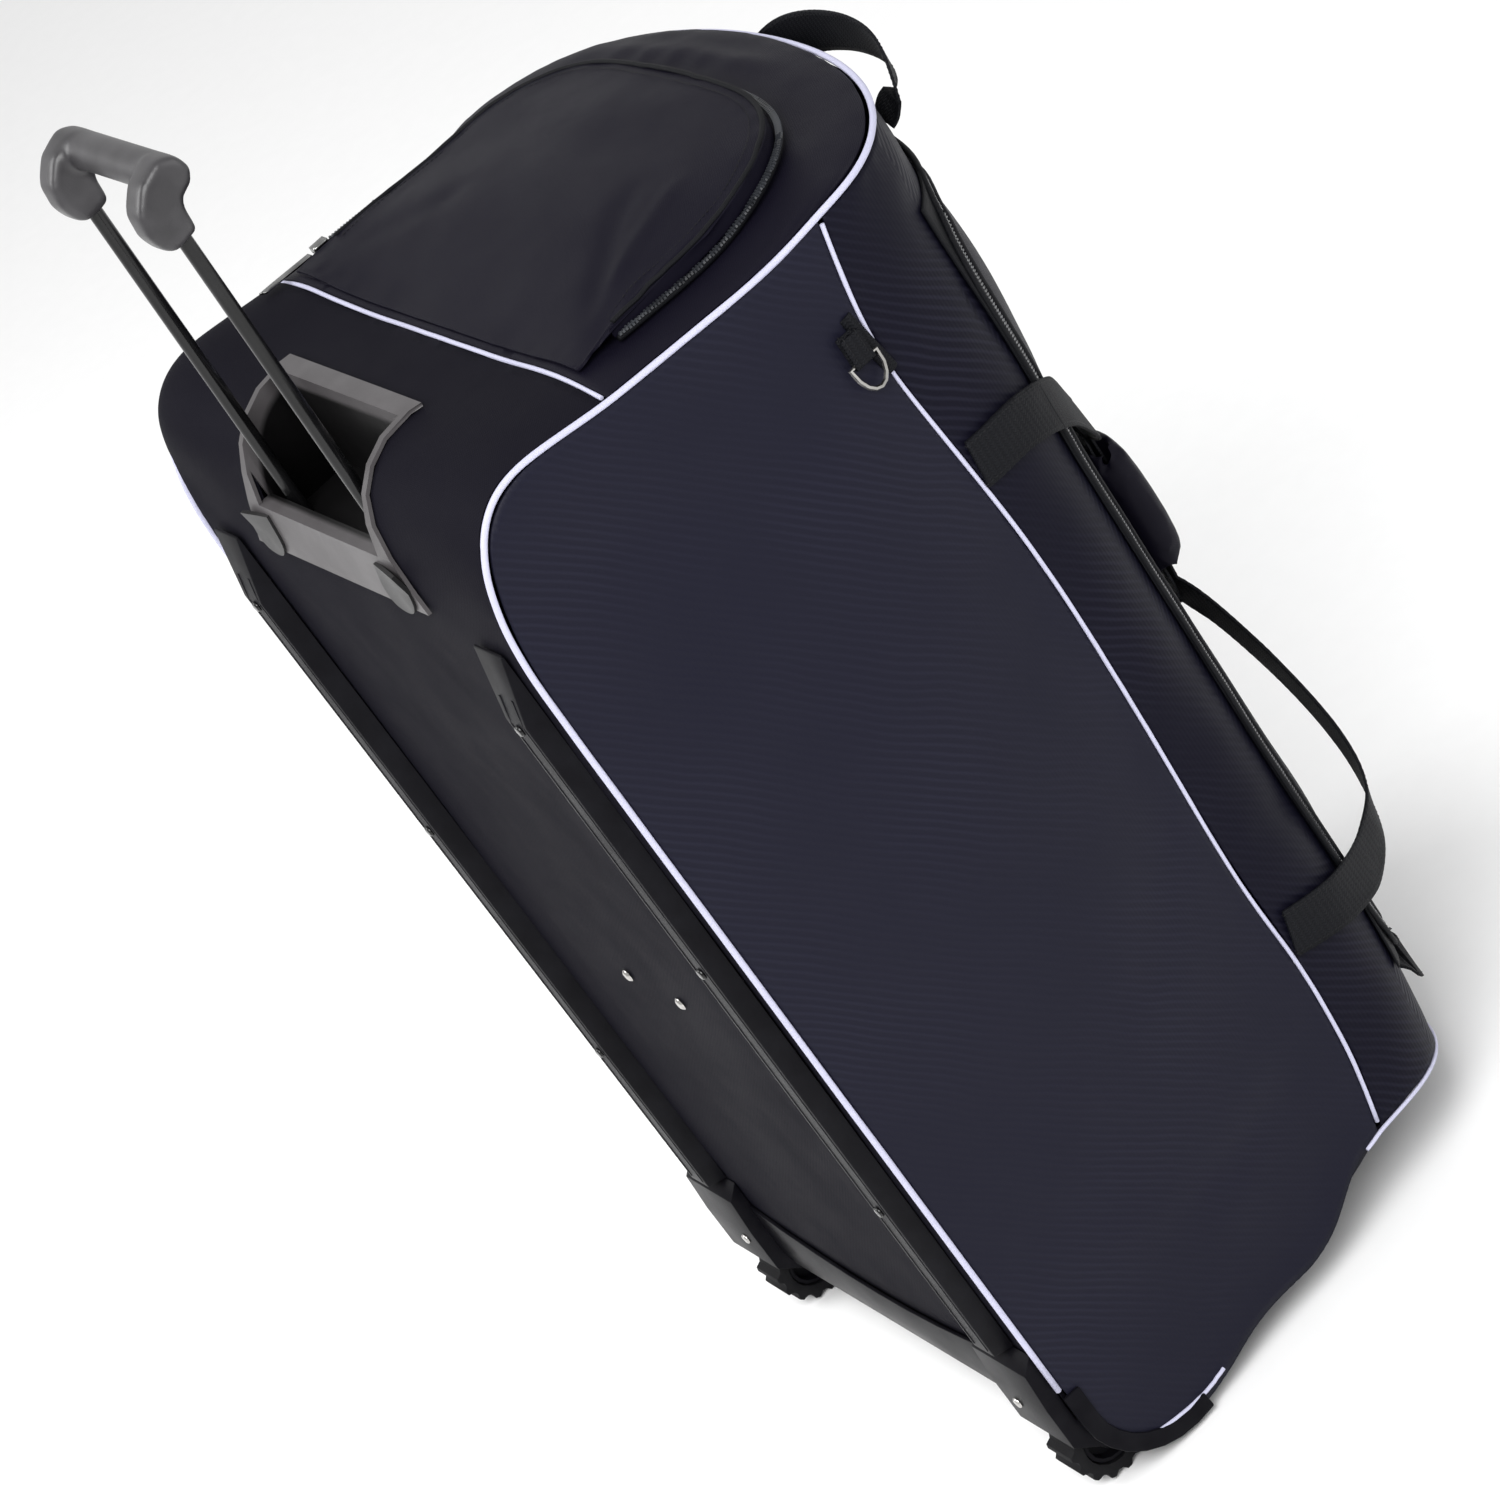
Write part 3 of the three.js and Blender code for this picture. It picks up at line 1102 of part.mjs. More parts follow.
for (const { side, sign } of SIDES) {
  const lower = sign > 0 ? STRAP_STACK : 0;
  const held = (z) => ({ turn: -sign * WRAP_TURN, z, stand: WRAP_STAND - lower });
  const rows = [
    ...STRAP_ROUTE.map((row) => ({ turn: row.turn, z: row.up * BAG_HEIGHT, stand: row.stand })),
    ...[WRAP_HIGH + 18, WRAP_HIGH - 4, WRAP_LOW + 4, WRAP_LOW - 18].map(held),
    ...STRAP_RETURN.map((row) => (
      { turn: row.turn, z: row.up * BAG_HEIGHT, stand: row.stand - lower * rise(10, 44, row.stand) })),
  ];
  piece(`carry_strap_${side}`, webbing(rows, WEBBING, sign), WEB);
}

/** Ring of the padded wrap at a height, round or slotted. */
function wrapRing(z, halfWidth, halfThick, squareness) {
  const middle = lidPoint(WRAP_TURN, z, WRAP_STAND - STRAP_STACK / 2 - WEBBING_THICK / 2);
  return steps(16).slice(0, -1).map((s) => {
    const angle = 2 * Math.PI * s;
    return new THREE.Vector3(middle.x + halfWidth * squared(Math.cos(angle), squareness),
      middle.y + halfThick * squared(Math.sin(angle), squareness), z);
  });
}
const wrapOuter = steps(6).map((s) => {
  const puff = 1 - 0.22 * Math.abs(2 * s - 1) ** 3;
  return wrapRing(mix(WRAP_LOW, WRAP_HIGH, s), WRAP_WIDTH / 2 * puff, WRAP_THICK / 2 * puff, 2.6);
});
const wrapSlot = [WRAP_LOW - 5, WRAP_HIGH + 5].map((z) => (
  wrapRing(z, WEBBING / 2 + 3, STRAP_STACK / 2 + 3.6, 7)));
piece("handle_wrap", fromSolid(solid(loft(wrapOuter)).subtract(solid(loft(wrapSlot)))), BLACK_CLOTH);

// Grab handles at both ends of the lid, as rows like the straps'
const TOP_GRAB = [
  { turn: -0.27, up: 0.945, stand: 2 },
  { turn: -0.27, up: 0.965, stand: 22 },
  { turn: -0.21, up: 0.98, stand: 33 },
  { turn: -0.1, up: 0.985, stand: 33 },
  { turn: 0.02, up: 0.98, stand: 27 },
  { turn: 0.11, up: 0.965, stand: 15 },
  { turn: 0.14, up: 0.945, stand: 2 },
];
const BOTTOM_GRAB = [
  { turn: -0.27, up: 0.1, stand: 1.7 },
  { turn: -0.26, up: 0.085, stand: 18 },
  { turn: -0.21, up: 0.07, stand: 27 },
  { turn: -0.14, up: 0.065, stand: 29 },
  { turn: -0.07, up: 0.07, stand: 27 },
  { turn: -0.02, up: 0.085, stand: 18 },
  { turn: -0.01, up: 0.1, stand: 1.7 },
];
for (const [name, rows] of [["grab_handle_top", TOP_GRAB], ["grab_handle_bottom", BOTTOM_GRAB]]) {
  const placed = rows.map((row) => ({ turn: -row.turn, z: row.up * BAG_HEIGHT, stand: row.stand }));
  piece(name, webbing(placed, GRAB_WEBBING, 1), WEB);
}

// D-rings on folded tabs, sewn into the side seams near the top
const RING_UP = 0.895;
for (const { side, sign } of SIDES) {
  const z = RING_UP * BAG_HEIGHT;
  const y = -seamDepth(z) + 14;
  const fold = RING_WIRE + 2 * GAP;
  const surface = HALF + sideBulge(y + RING_WIDTH / 2, z - RING_WIDTH) + GAP;
  const x = surface + fold;
  const ring = [
    ...steps(4).map((s) => new THREE.Vector3(sign * x, mix(y - RING_WIDTH / 2, y + RING_WIDTH / 2, s), z)),
    ...steps(8).slice(1, -1).map((s) => {
      const angle = Math.PI * s;
      return new THREE.Vector3(sign * (x + 1 + 2 * Math.sin(angle)), y + RING_WIDTH / 2 * Math.cos(angle),
        z - RING_WIDTH * 0.85 * Math.sin(angle) - 2);
    }),
  ];
  piece(`d_ring_${side}`, tube(ring, RING_WIRE, 6, true), NICKEL);
  const tabHalf = RING_WIDTH / 2 - RING_WIRE - 2;
  const loop = [
    [x + fold, z + 22], [x + fold, z + 2],
    ...steps(4).map((s) => [x + fold * Math.cos(Math.PI * s), z - fold * Math.sin(Math.PI * s)]),
    [x - fold, z + 2], [x - fold, z + 22],
  ];
  const tabGrid = loop.map(([px, pz]) => [
    new THREE.Vector3(sign * px, y - tabHalf, pz),
    new THREE.Vector3(sign * px, y + tabHalf, pz),
  ]);
  const foldAway = new THREE.Vector3(sign * (x + 100), y, z - 100);
  piece(`ring_tab_${side}`, sheet(tabGrid, 1.2, () => true, foldAway), WEB);
}

// The origin is on the floor, under the middle of the whole bag
const box = new THREE.Box3().setFromObject(group, true);
group.position.set(-(box.min.x + box.max.x) / 2, -(box.min.y + box.max.y) / 2, -box.min.z);

export default group;
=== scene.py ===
"""Looks of the wheeled goalie bag: cloth panels, piping, zips, webbing, moulded parts and the studio."""

import logging
import math
from dataclasses import dataclass
from enum import Enum
from typing import Sequence

import bmesh
import bpy
import numpy as np
from mathutils import Matrix, Vector
from mathutils.bvhtree import BVHTree
from mathutils.kdtree import KDTree


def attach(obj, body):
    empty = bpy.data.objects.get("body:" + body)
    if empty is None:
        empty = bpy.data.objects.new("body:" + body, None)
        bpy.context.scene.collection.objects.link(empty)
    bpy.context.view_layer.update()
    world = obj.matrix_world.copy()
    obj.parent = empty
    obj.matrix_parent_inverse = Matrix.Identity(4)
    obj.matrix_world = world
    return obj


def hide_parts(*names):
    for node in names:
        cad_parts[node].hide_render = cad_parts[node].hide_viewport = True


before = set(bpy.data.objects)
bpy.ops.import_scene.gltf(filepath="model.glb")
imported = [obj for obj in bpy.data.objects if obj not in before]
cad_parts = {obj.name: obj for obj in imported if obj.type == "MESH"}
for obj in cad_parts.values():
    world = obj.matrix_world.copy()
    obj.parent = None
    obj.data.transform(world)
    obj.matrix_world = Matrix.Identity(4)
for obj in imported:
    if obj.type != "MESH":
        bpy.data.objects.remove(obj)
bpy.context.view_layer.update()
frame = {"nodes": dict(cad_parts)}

LOG = logging.getLogger("goalie_bag")

Triple = tuple[float, float, float]

# The photograph's camera, solved from the edges of the bag
CAMERA_PLACE: Triple = (-3.21991, 0.99349, 2.36797)
CAMERA_RIGHT: Triple = (-0.491880, -0.704778, -0.511216)
CAMERA_DOWN: Triple = (-0.218447, 0.668274, -0.711119)
CAMERA_FORWARD: Triple = (0.842814, -0.238111, -0.482668)
CAMERA_LENS = 126.66
CAMERA_SENSOR = 36.0

# The bag's middle and half sizes, for the way out through a point
BAG_MIDDLE = np.array([0.0, 0.0, 0.47])
BAG_REACH = np.array([0.255, 0.24, 0.47])

# Edges above these angles count as seams, and stay sharp on hard parts
SEAM_ANGLE = math.radians(50)
HARD_ANGLE = math.radians(38)
CORD_ANGLE = math.radians(75)
MERGE = 2e-5

# Values that all finishes share
DUST_COLOUR: Triple = (0.16, 0.155, 0.15)
# Painted shade: near-black that darkens the inside of the bezel's recess
HOLLOW_SHADE_COLOUR: Triple = (0.0030, 0.0028, 0.0030)
# Share of the light colour that the texture mask paints in: painted highlight on cloth, random tone on
# mouldings
TEXTURE_SHARE = 0.45
ROUGHNESS_SPREAD = 0.06
DUST_ROUGHNESS = 0.25
SMOOTH_GRAIN = 160.0
RIB_WANDER = 0.35


class Texture(Enum):
    """How a finish is textured."""

    PLAIN_WEAVE = "plain weave"
    RIBBED = "ribbed cloth"
    TWILL = "twill webbing"
    GRAIN = "moulded grain"
    SMOOTH = "smooth"


class Side(Enum):
    """The two sides of the bag, with the sign of x on each."""

    NEAR = -1
    FAR = 1

    @property
    def word(self) -> str:
        """The side's word in the names of the pieces.

        Returns:
            The word in small letters.
        """
        return self.name.lower()


# Shader node groups


def _group(name: str, inputs: Sequence[tuple[str, str, float]], outputs: Sequence[str],
           ) -> tuple[bpy.types.NodeTree, bpy.types.Node, bpy.types.Node]:
    """Start a shader node group with named sockets.

    Args:
        name: The group's name.
        inputs: Name, socket kind and starting value of each input.
        outputs: Names of the plain number outputs.

    Returns:
        The group's tree, its input node and its output node.
    """
    tree = bpy.data.node_groups.new(name, "ShaderNodeTree")
    for title, kind, value in inputs:
        socket = tree.interface.new_socket(title, in_out="INPUT", socket_type=kind)
        if kind == "NodeSocketFloat":
            socket.default_value = value
    for title in outputs:
        tree.interface.new_socket(title, in_out="OUTPUT", socket_type="NodeSocketFloat")
    return tree, tree.nodes.new("NodeGroupInput"), tree.nodes.new("NodeGroupOutput")


@dataclass(frozen=True)
class _Sums:
    """Short hand for chains of math nodes in one tree.

    Args:
        tree: The node tree that the nodes go in.
    """

    tree: bpy.types.NodeTree

    def do(self, operation: str, *values: bpy.types.NodeSocket | float) -> bpy.types.NodeSocket:
        """Add one math node.

        Args:
            operation: The math node's operation.
            values: Sockets or numbers for its inputs.

        Returns:
            The node's output.
        """
        node = self.tree.nodes.new("ShaderNodeMath")
        node.operation = operation
        for socket, value in zip(node.inputs, values):
            if isinstance(value, (int, float)):
                socket.default_value = value
            else:
                self.tree.links.new(value, socket)
        return node.outputs[0]

    def noise(self, vector: bpy.types.NodeSocket, scale: bpy.types.NodeSocket | float,
              detail: float = 2.0, roughness: float = 0.5) -> bpy.types.NodeSocket:
        """Add a noise texture.

        Args:
            vector: Where it is read.
            scale: How fine it is.
            detail: Its layers.
            roughness: How much the finer layers count.

        Returns:
            Its value between 0 and 1.
        """
        node = self.tree.nodes.new("ShaderNodeTexNoise")
        self.tree.links.new(vector, node.inputs["Vector"])
        if isinstance(scale, (int, float)):
            node.inputs["Scale"].default_value = scale
        else:
            self.tree.links.new(scale, node.inputs["Scale"])
        node.inputs["Detail"].default_value = detail
        node.inputs["Roughness"].default_value = roughness
        return node.outputs["Fac"]

    def split(self, vector: bpy.types.NodeSocket) -> Sequence[bpy.types.NodeSocket]:
        """Take a vector apart.

        Args:
            vector: The vector.

        Returns:
            Its X, Y and Z.
        """
        node = self.tree.nodes.new("ShaderNodeSeparateXYZ")
        self.tree.links.new(vector, node.inputs[0])
        return node.outputs

    def ramp(self, value: bpy.types.NodeSocket, low: float, high: float, start: float = 0.0,
             end: float = 1.0) -> bpy.types.NodeSocket:
        """Map a value from one range to another, held at the ends.

        Args:
            value: The value.
            low: Start of the first range.
            high: End of the first range.
            start: Start of the second range.
            end: End of the second range.

        Returns:
            The mapped value.
        """
        node = self.tree.nodes.new("ShaderNodeMapRange")
        node.clamp = True
        self.tree.links.new(value, node.inputs["Value"])
        for title, number in (("From Min", low), ("From Max", high), ("To Min", start), ("To Max", end)):
            node.inputs[title].default_value = number
        return node.outputs[0]


class Effects:
    """The node groups that the finishes share, each built once."""

    def __init__(self) -> None:
        """Build the six groups."""
        self.weave = self._weave()
        self.rib = self._rib()
        self.twill = self._twill()
        self.grain = self._grain()
        self.wear = self._wear()
        self.dust = self._dust()

    @staticmethod
    def _weave() -> bpy.types.NodeTree:
        """Plain weave: threads that pass over and under each other.

        Returns:
            The group's tree.
        """
        sockets = [("Vector", "NodeSocketVector", 0.0), ("Thread", "NodeSocketFloat", 0.0008)]
        tree, source, sink = _group("plain_weave", sockets, ["Height", "Mask"])
        sums = _Sums(tree)
        x, y, _ = sums.split(source.outputs["Vector"])
        across = sums.do("DIVIDE", x, source.outputs["Thread"])
        along = sums.do("DIVIDE", y, source.outputs["Thread"])
        warp = sums.do("ABSOLUTE", sums.do("SINE", sums.do("MULTIPLY", across, math.pi)))
        weft = sums.do("ABSOLUTE", sums.do("SINE", sums.do("MULTIPLY", along, math.pi)))
        cell = sums.do("ADD", sums.do("FLOOR", across), sums.do("FLOOR", along))
        over = sums.do("PINGPONG", cell, 1.0)
        height = sums.do("ADD", sums.do("MULTIPLY", warp, over),
                         sums.do("MULTIPLY", weft, sums.do("SUBTRACT", 1.0, over)))
        tree.links.new(height, sink.inputs["Height"])
        # The mask marks cells where the warp lies over; the finish paints them lighter as painted highlight
        tree.links.new(over, sink.inputs["Mask"])
        return tree

    @staticmethod
    def _rib() -> bpy.types.NodeTree:
        """Fine ribs that wander a little, as on a coated cloth.

        Returns:
            The group's tree.
        """
        tree, source, sink = _group("fine_rib", [("Vector", "NodeSocketVector", 0.0),
                                                 ("Pitch", "NodeSocketFloat", 0.003),
                                                 ("Wander", "NodeSocketFloat", 1.0)], ["Height", "Mask"])
        sums = _Sums(tree)
        x, y, _ = sums.split(source.outputs["Vector"])
        bend = sums.do("MULTIPLY", sums.noise(source.outputs["Vector"], 9.0), source.outputs["Wander"])
        turned = sums.do("SUBTRACT", sums.do("MULTIPLY", y, 0.67), sums.do("MULTIPLY", x, 0.74))
        rows = sums.do("DIVIDE", turned, source.outputs["Pitch"])
        phase = sums.do("ADD", rows, sums.do("MULTIPLY", bend, 6.0))
        wave = sums.do("SINE", sums.do("MULTIPLY", phase, 2 * math.pi))
        threads = sums.do("DIVIDE", x, source.outputs["Pitch"])
        thread = sums.do("SINE", sums.do("MULTIPLY", threads, 4 * math.pi))
        height = sums.do("ADD", sums.do("MULTIPLY", wave, 0.5), sums.do("MULTIPLY", thread, 0.14))
        # The mask marks rib crests in broad patches; the finish paints them lighter as painted sheen on the
        # ribs
        patch = sums.ramp(sums.noise(source.outputs["Vector"], 5.0), 0.36, 0.6)
        mask = sums.do("MULTIPLY", sums.ramp(wave, -0.2, 1.0), patch)
        tree.links.new(height, sink.inputs["Height"])
        tree.links.new(mask, sink.inputs["Mask"])
        return tree

    @staticmethod
    def _twill() -> bpy.types.NodeTree:
        """Slanting cords of woven webbing.

        Returns:
            The group's tree.
        """
        sockets = [("Vector", "NodeSocketVector", 0.0), ("Pitch", "NodeSocketFloat", 0.0024)]
        tree, source, sink = _group("twill_cords", sockets, ["Height", "Mask"])
        sums = _Sums(tree)
        x, y, _ = sums.split(source.outputs["Vector"])
        up = sums.do("PINGPONG", sums.do("DIVIDE", x, source.outputs["Pitch"]), 1.0)
        slant = sums.do("ADD", sums.do("DIVIDE", y, source.outputs["Pitch"]), sums.do("MULTIPLY", up, 0.8))
        wave = sums.do("ABSOLUTE", sums.do("SINE", sums.do("MULTIPLY", slant, math.pi)))
        groove = sums.do("POWER", up, 0.35)
        height = sums.do("MULTIPLY", wave, groove)
        tree.links.new(height, sink.inputs["Height"])
        # The mask marks the raised cords; the finish paints them lighter as painted highlight
        tree.links.new(sums.ramp(height, 0.2, 0.9), sink.inputs["Mask"])
        return tree

    @staticmethod
    def _grain() -> bpy.types.NodeTree:
        """The fine spark grain of a moulded part.

        Returns:
            The group's tree.
        """
        sockets = [("Vector", "NodeSocketVector", 0.0), ("Scale", "NodeSocketFloat", 900.0)]
        tree, source, sink = _group("moulded_grain", sockets, ["Height", "Mask"])
        sums = _Sums(tree)
        fine = sums.noise(source.outputs["Vector"], source.outputs["Scale"], 3.0, 0.6)
        broad = sums.noise(source.outputs["Vector"], 38.0, 2.0, 0.5)
        tree.links.new(fine, sink.inputs["Height"])
        tree.links.new(sums.ramp(broad, 0.35, 0.7), sink.inputs["Mask"])
        return tree

    @staticmethod
    def _wear() -> bpy.types.NodeTree:
        """Rubbed patches and fine scuffs.

        Returns:
            The group's tree.
        """
        tree, source, sink = _group("rubbed_wear", [("Vector", "NodeSocketVector", 0.0),
                                                    ("Amount", "NodeSocketFloat", 0.3)], ["Mask"])
        sums = _Sums(tree)
        geometry = tree.nodes.new("ShaderNodeNewGeometry")
        edge = sums.ramp(geometry.outputs["Pointiness"], 0.52, 0.62)
        patch = sums.ramp(sums.noise(source.outputs["Vector"], 24.0, 5.0, 0.65), 0.42, 0.74)
        scuff = sums.ramp(sums.noise(source.outputs["Vector"], 210.0, 3.0, 0.7), 0.55, 0.8)
        both = sums.do("ADD", sums.do("MULTIPLY", edge, 0.7),
                       sums.do("MULTIPLY", patch, sums.do("ADD", sums.do("MULTIPLY", scuff, 0.6), 0.25)))
        tree.links.new(sums.do("MULTIPLY", both, source.outputs["Amount"]), sink.inputs["Mask"])
        return tree

    @staticmethod
    def _dust() -> bpy.types.NodeTree:
        """Light dust on faces that look up.

        Returns:
            The group's tree.
        """
        tree, source, sink = _group("settled_dust", [("Vector", "NodeSocketVector", 0.0),
                                                     ("Amount", "NodeSocketFloat", 0.2)], ["Mask"])
        sums = _Sums(tree)
        geometry = tree.nodes.new("ShaderNodeNewGeometry")
        up = sums.ramp(sums.split(geometry.outputs["Normal"])[2], 0.1, 1.0, 0.15, 1.0)
        cloud = sums.ramp(sums.noise(source.outputs["Vector"], 14.0, 6.0, 0.7), 0.35, 0.8)
        tree.links.new(sums.do("MULTIPLY", sums.do("MULTIPLY", up, cloud), source.outputs["Amount"]),
                       sink.inputs["Mask"])
        return tree


@dataclass(frozen=True)
class Finish:
    """One finish of the bag, turned into a material on first use.

    Args:
        name: The material's name.
        colour: Main colour, linear.
        light: Painted highlight on raised threads, ribs and cords; also the colour of rubbed edges,
        worn patches and random tone on moulded grain, linear.
        roughness: Middle roughness.
        texture: Kind of texture.
        pitch: Thread, cord or rib spacing in metres, or grain scale.
        relief: Height of the texture in metres.
        metallic: Metal share.
        sheen: Sheen weight.
        coat: Coat weight.
        specular: Specular level.
        wear: Share of wear.
        dust: Share of dust.
        mapped: Whether the piece has a cloth map in metres.
        hollow: Middle y and z and the half depth and height of the shoulder's curve, inside which a
        part is painted dark as the shade in the bezel's recess.
    """

    name: str
    colour: Triple
    light: Triple
    roughness: float
    texture: Texture = Texture.SMOOTH
    pitch: float = 0.001
    relief: float = 0.0001
    metallic: float = 0.0
    sheen: float = 0.0
    coat: float = 0.0
    specular: float = 0.5
    wear: float = 0.2
    dust: float = 0.1
    mapped: bool = True
    hollow: tuple[float, float, float, float] | None = None

    def material(self, effects: Effects) -> bpy.types.Material:
        """Make or fetch the material.

        Args:
            effects: The shared node groups.

        Returns:
            The material of this finish.
        """
        title = self.name + "_finish"
        found = bpy.data.materials.get(title)
        if found:
            return found
        made = bpy.data.materials.new(title)
        made.use_nodes = True
        tree = made.node_tree
        shader = tree.nodes["Principled BSDF"]
        shader.inputs["Metallic"].default_value = self.metallic
        shader.inputs["Specular IOR Level"].default_value = self.specular
        shader.inputs["Sheen Weight"].default_value = self.sheen
        shader.inputs["Sheen Roughness"].default_value = 0.45
        shader.inputs["Coat Weight"].default_value = self.coat
        shader.inputs["Coat Roughness"].default_value = 0.18
        place = tree.nodes.new("ShaderNodeTexCoord")
        solid = place.outputs["Object"]
        cloth = place.outputs["UV"] if self.mapped else solid
        height, mask = self._texture(tree, effects, cloth, solid)
        wear = self._placed(tree, effects.wear, {"Vector": solid, "Amount": self.wear}).outputs["Mask"]
        dust = self._placed(tree, effects.dust, {"Vector": solid, "Amount": self.dust}).outputs["Mask"]
        sums = _Sums(tree)
        # Painted highlight: raised threads, ribs and cords lighten towards the light colour; on moulded
        # grain this mix is random tone
        tint = self._mixed(tree, sums.do("MULTIPLY", mask, TEXTURE_SHARE), self.colour, self.light)
        tint = self._mixed(tree, wear, tint, self.light)
        tint = self._mixed(tree, dust, tint, DUST_COLOUR)
        # Painted shade: darken the inside of the shoulder's curve towards near-black
        if self.hollow:
            tint = self._mixed(tree, self._hollow_shade(sums, solid), tint, HOLLOW_SHADE_COLOUR)
        tree.links.new(tint, shader.inputs["Base Color"])
        cloud = sums.ramp(sums.noise(solid, 11.0, 4.0, 0.6), 0.3, 0.7, self.roughness - ROUGHNESS_SPREAD,
                          self.roughness + ROUGHNESS_SPREAD)
        tree.links.new(sums.do("ADD", cloud, sums.do("MULTIPLY", dust, DUST_ROUGHNESS)),
                       shader.inputs["Roughness"])
        bump = tree.nodes.new("ShaderNodeBump")
        bump.inputs["Strength"].default_value = 1.0
        bump.inputs["Distance"].default_value = self.relief
        tree.links.new(height, bump.inputs["Height"])
        tree.links.new(bump.outputs["Normal"], shader.inputs["Normal"])
        return made

    def _hollow_shade(self, sums: _Sums, solid: bpy.types.NodeSocket) -> bpy.types.NodeSocket:
        """How far a point lies inside the shoulder's curve, where the recess's shade is painted.

        Args:
            sums: Math nodes of the material's tree.
            solid: The piece's own coordinates.

        Returns:
            1 inside the curve, where the painted shade is full, and 0 outside it.
        """
        _, *along = sums.split(solid)
        powers = []
        for place, middle, half in zip(along, self.hollow[:2], self.hollow[2:]):
            share = sums.do("DIVIDE", sums.do("SUBTRACT", place, middle), half)
            powers.append(sums.do("POWER", sums.do("MAXIMUM", share, 0.0), 2.5))
        return sums.ramp(sums.do("ADD", *powers), 0.84, 0.93, 1.0, 0.0)

    def _texture(self, tree: bpy.types.NodeTree, effects: Effects, cloth: bpy.types.NodeSocket,
                 solid: bpy.types.NodeSocket) -> tuple[bpy.types.NodeSocket, bpy.types.NodeSocket]:
        """Place the finish's texture group.

        Args:
            tree: The material's node tree.
            effects: The shared node groups.
            cloth: The cloth map.
            solid: The piece's own coordinates.

        Returns:
            The texture's height and mask.
        """
        chosen = {
            Texture.PLAIN_WEAVE: (effects.weave, {"Vector": cloth, "Thread": self.pitch}),
            Texture.RIBBED: (effects.rib, {"Vector": cloth, "Pitch": self.pitch, "Wander": RIB_WANDER}),
            Texture.TWILL: (effects.twill, {"Vector": cloth, "Pitch": self.pitch}),
            Texture.GRAIN: (effects.grain, {"Vector": solid, "Scale": self.pitch}),
            Texture.SMOOTH: (effects.grain, {"Vector": solid, "Scale": SMOOTH_GRAIN}),
        }[self.texture]
        node = self._placed(tree, *chosen)
        return node.outputs["Height"], node.outputs["Mask"]

    @staticmethod
    def _placed(tree: bpy.types.NodeTree, group: bpy.types.NodeTree,
                values: dict[str, bpy.types.NodeSocket | float]) -> bpy.types.Node:
        """Place a group in a material with its own values.

        Args:
            tree: The material's node tree.
            group: The group.
            values: Sockets or numbers for its named inputs.

        Returns:
            The placed node.
        """
        node = tree.nodes.new("ShaderNodeGroup")
        node.node_tree = group
        for title, value in values.items():
            if isinstance(value, (int, float)):
                node.inputs[title].default_value = value
            else:
                tree.links.new(value, node.inputs[title])
        return node

    @staticmethod
    def _mixed(tree: bpy.types.NodeTree, share: bpy.types.NodeSocket, first: bpy.types.NodeSocket | Triple,
               second: bpy.types.NodeSocket | Triple) -> bpy.types.NodeSocket:
        """Mix two colours by a share that changes over the surface.

        Args:
            tree: The material's node tree.
            share: The second colour's share.
            first: The first colour.
            second: The second colour.

        Returns:
            The mixed colour.
        """
        node = tree.nodes.new("ShaderNodeMix")
        node.data_type = "RGBA"
        tree.links.new(share, node.inputs[0])
        for socket, value in ((node.inputs[6], first), (node.inputs[7], second)):
            if isinstance(value, tuple):
                socket.default_value = (*value, 1.0)
            else:
                tree.links.new(value, socket)
        return node.outputs[2]


# Second colour: painted highlight on raised threads, ribs and cords, and the colour of wear; random tone on
# mouldings
PANEL = Finish("side_cloth", (0.0072, 0.0072, 0.0150), (0.0132, 0.0134, 0.0255), 0.48, Texture.RIBBED,
               0.0058, 0.00013, specular=0.095, wear=0.03, dust=0.008)
NYLON = Finish("black_nylon", (0.0030, 0.0024, 0.0068), (0.0072, 0.0066, 0.0130), 0.46, Texture.PLAIN_WEAVE,
               0.0009, 0.00008, specular=0.075, wear=0.03, dust=0.008)
BACKING = Finish("back_cloth", (0.0060, 0.0056, 0.0084), (0.0105, 0.0100, 0.0160), 0.60, Texture.PLAIN_WEAVE,
                 0.0011, 0.00008, specular=0.018, wear=0.03, dust=0.008)
GUSSET = Finish("ribbed_gusset", (0.0040, 0.0038, 0.0090), (0.0150, 0.0150, 0.0270), 0.50, Texture.RIBBED,
                0.0062, 0.00026, specular=0.06, wear=0.03, dust=0.006)
PIPING = Finish("white_piping", (0.46, 0.46, 0.60), (0.58, 0.58, 0.72), 0.5, Texture.PLAIN_WEAVE,
                0.0006, 0.0001, specular=0.3, wear=0.2, dust=0.05)
WEBBING = Finish("black_webbing", (0.0030, 0.0032, 0.0046), (0.0092, 0.0100, 0.0125), 0.62, Texture.TWILL,
                 0.0026, 0.0004, specular=0.10, wear=0.05, dust=0.012)
TAPE = Finish("zip_tape", (0.0026, 0.0028, 0.0040), (0.0075, 0.0080, 0.0100), 0.60, Texture.TWILL,
              0.0012, 0.0002, specular=0.12, wear=0.05, dust=0.01)
THREAD = Finish("black_thread", (0.0050, 0.0050, 0.0060), (0.014, 0.014, 0.016), 0.50, Texture.SMOOTH,
                specular=0.15, wear=0.1, dust=0.01, mapped=False)
TEETH = Finish("zip_teeth", (0.0110, 0.0120, 0.0145), (0.06, 0.065, 0.075), 0.26, Texture.SMOOTH, coat=0.15,
               specular=0.4, dust=0.01, mapped=False)
MOULDING = Finish("satin_moulding", (0.0028, 0.0026, 0.0040), (0.010, 0.0098, 0.0118), 0.36, Texture.GRAIN,
                  1100.0, 0.00006, specular=0.045, wear=0.2, dust=0.012, mapped=False)
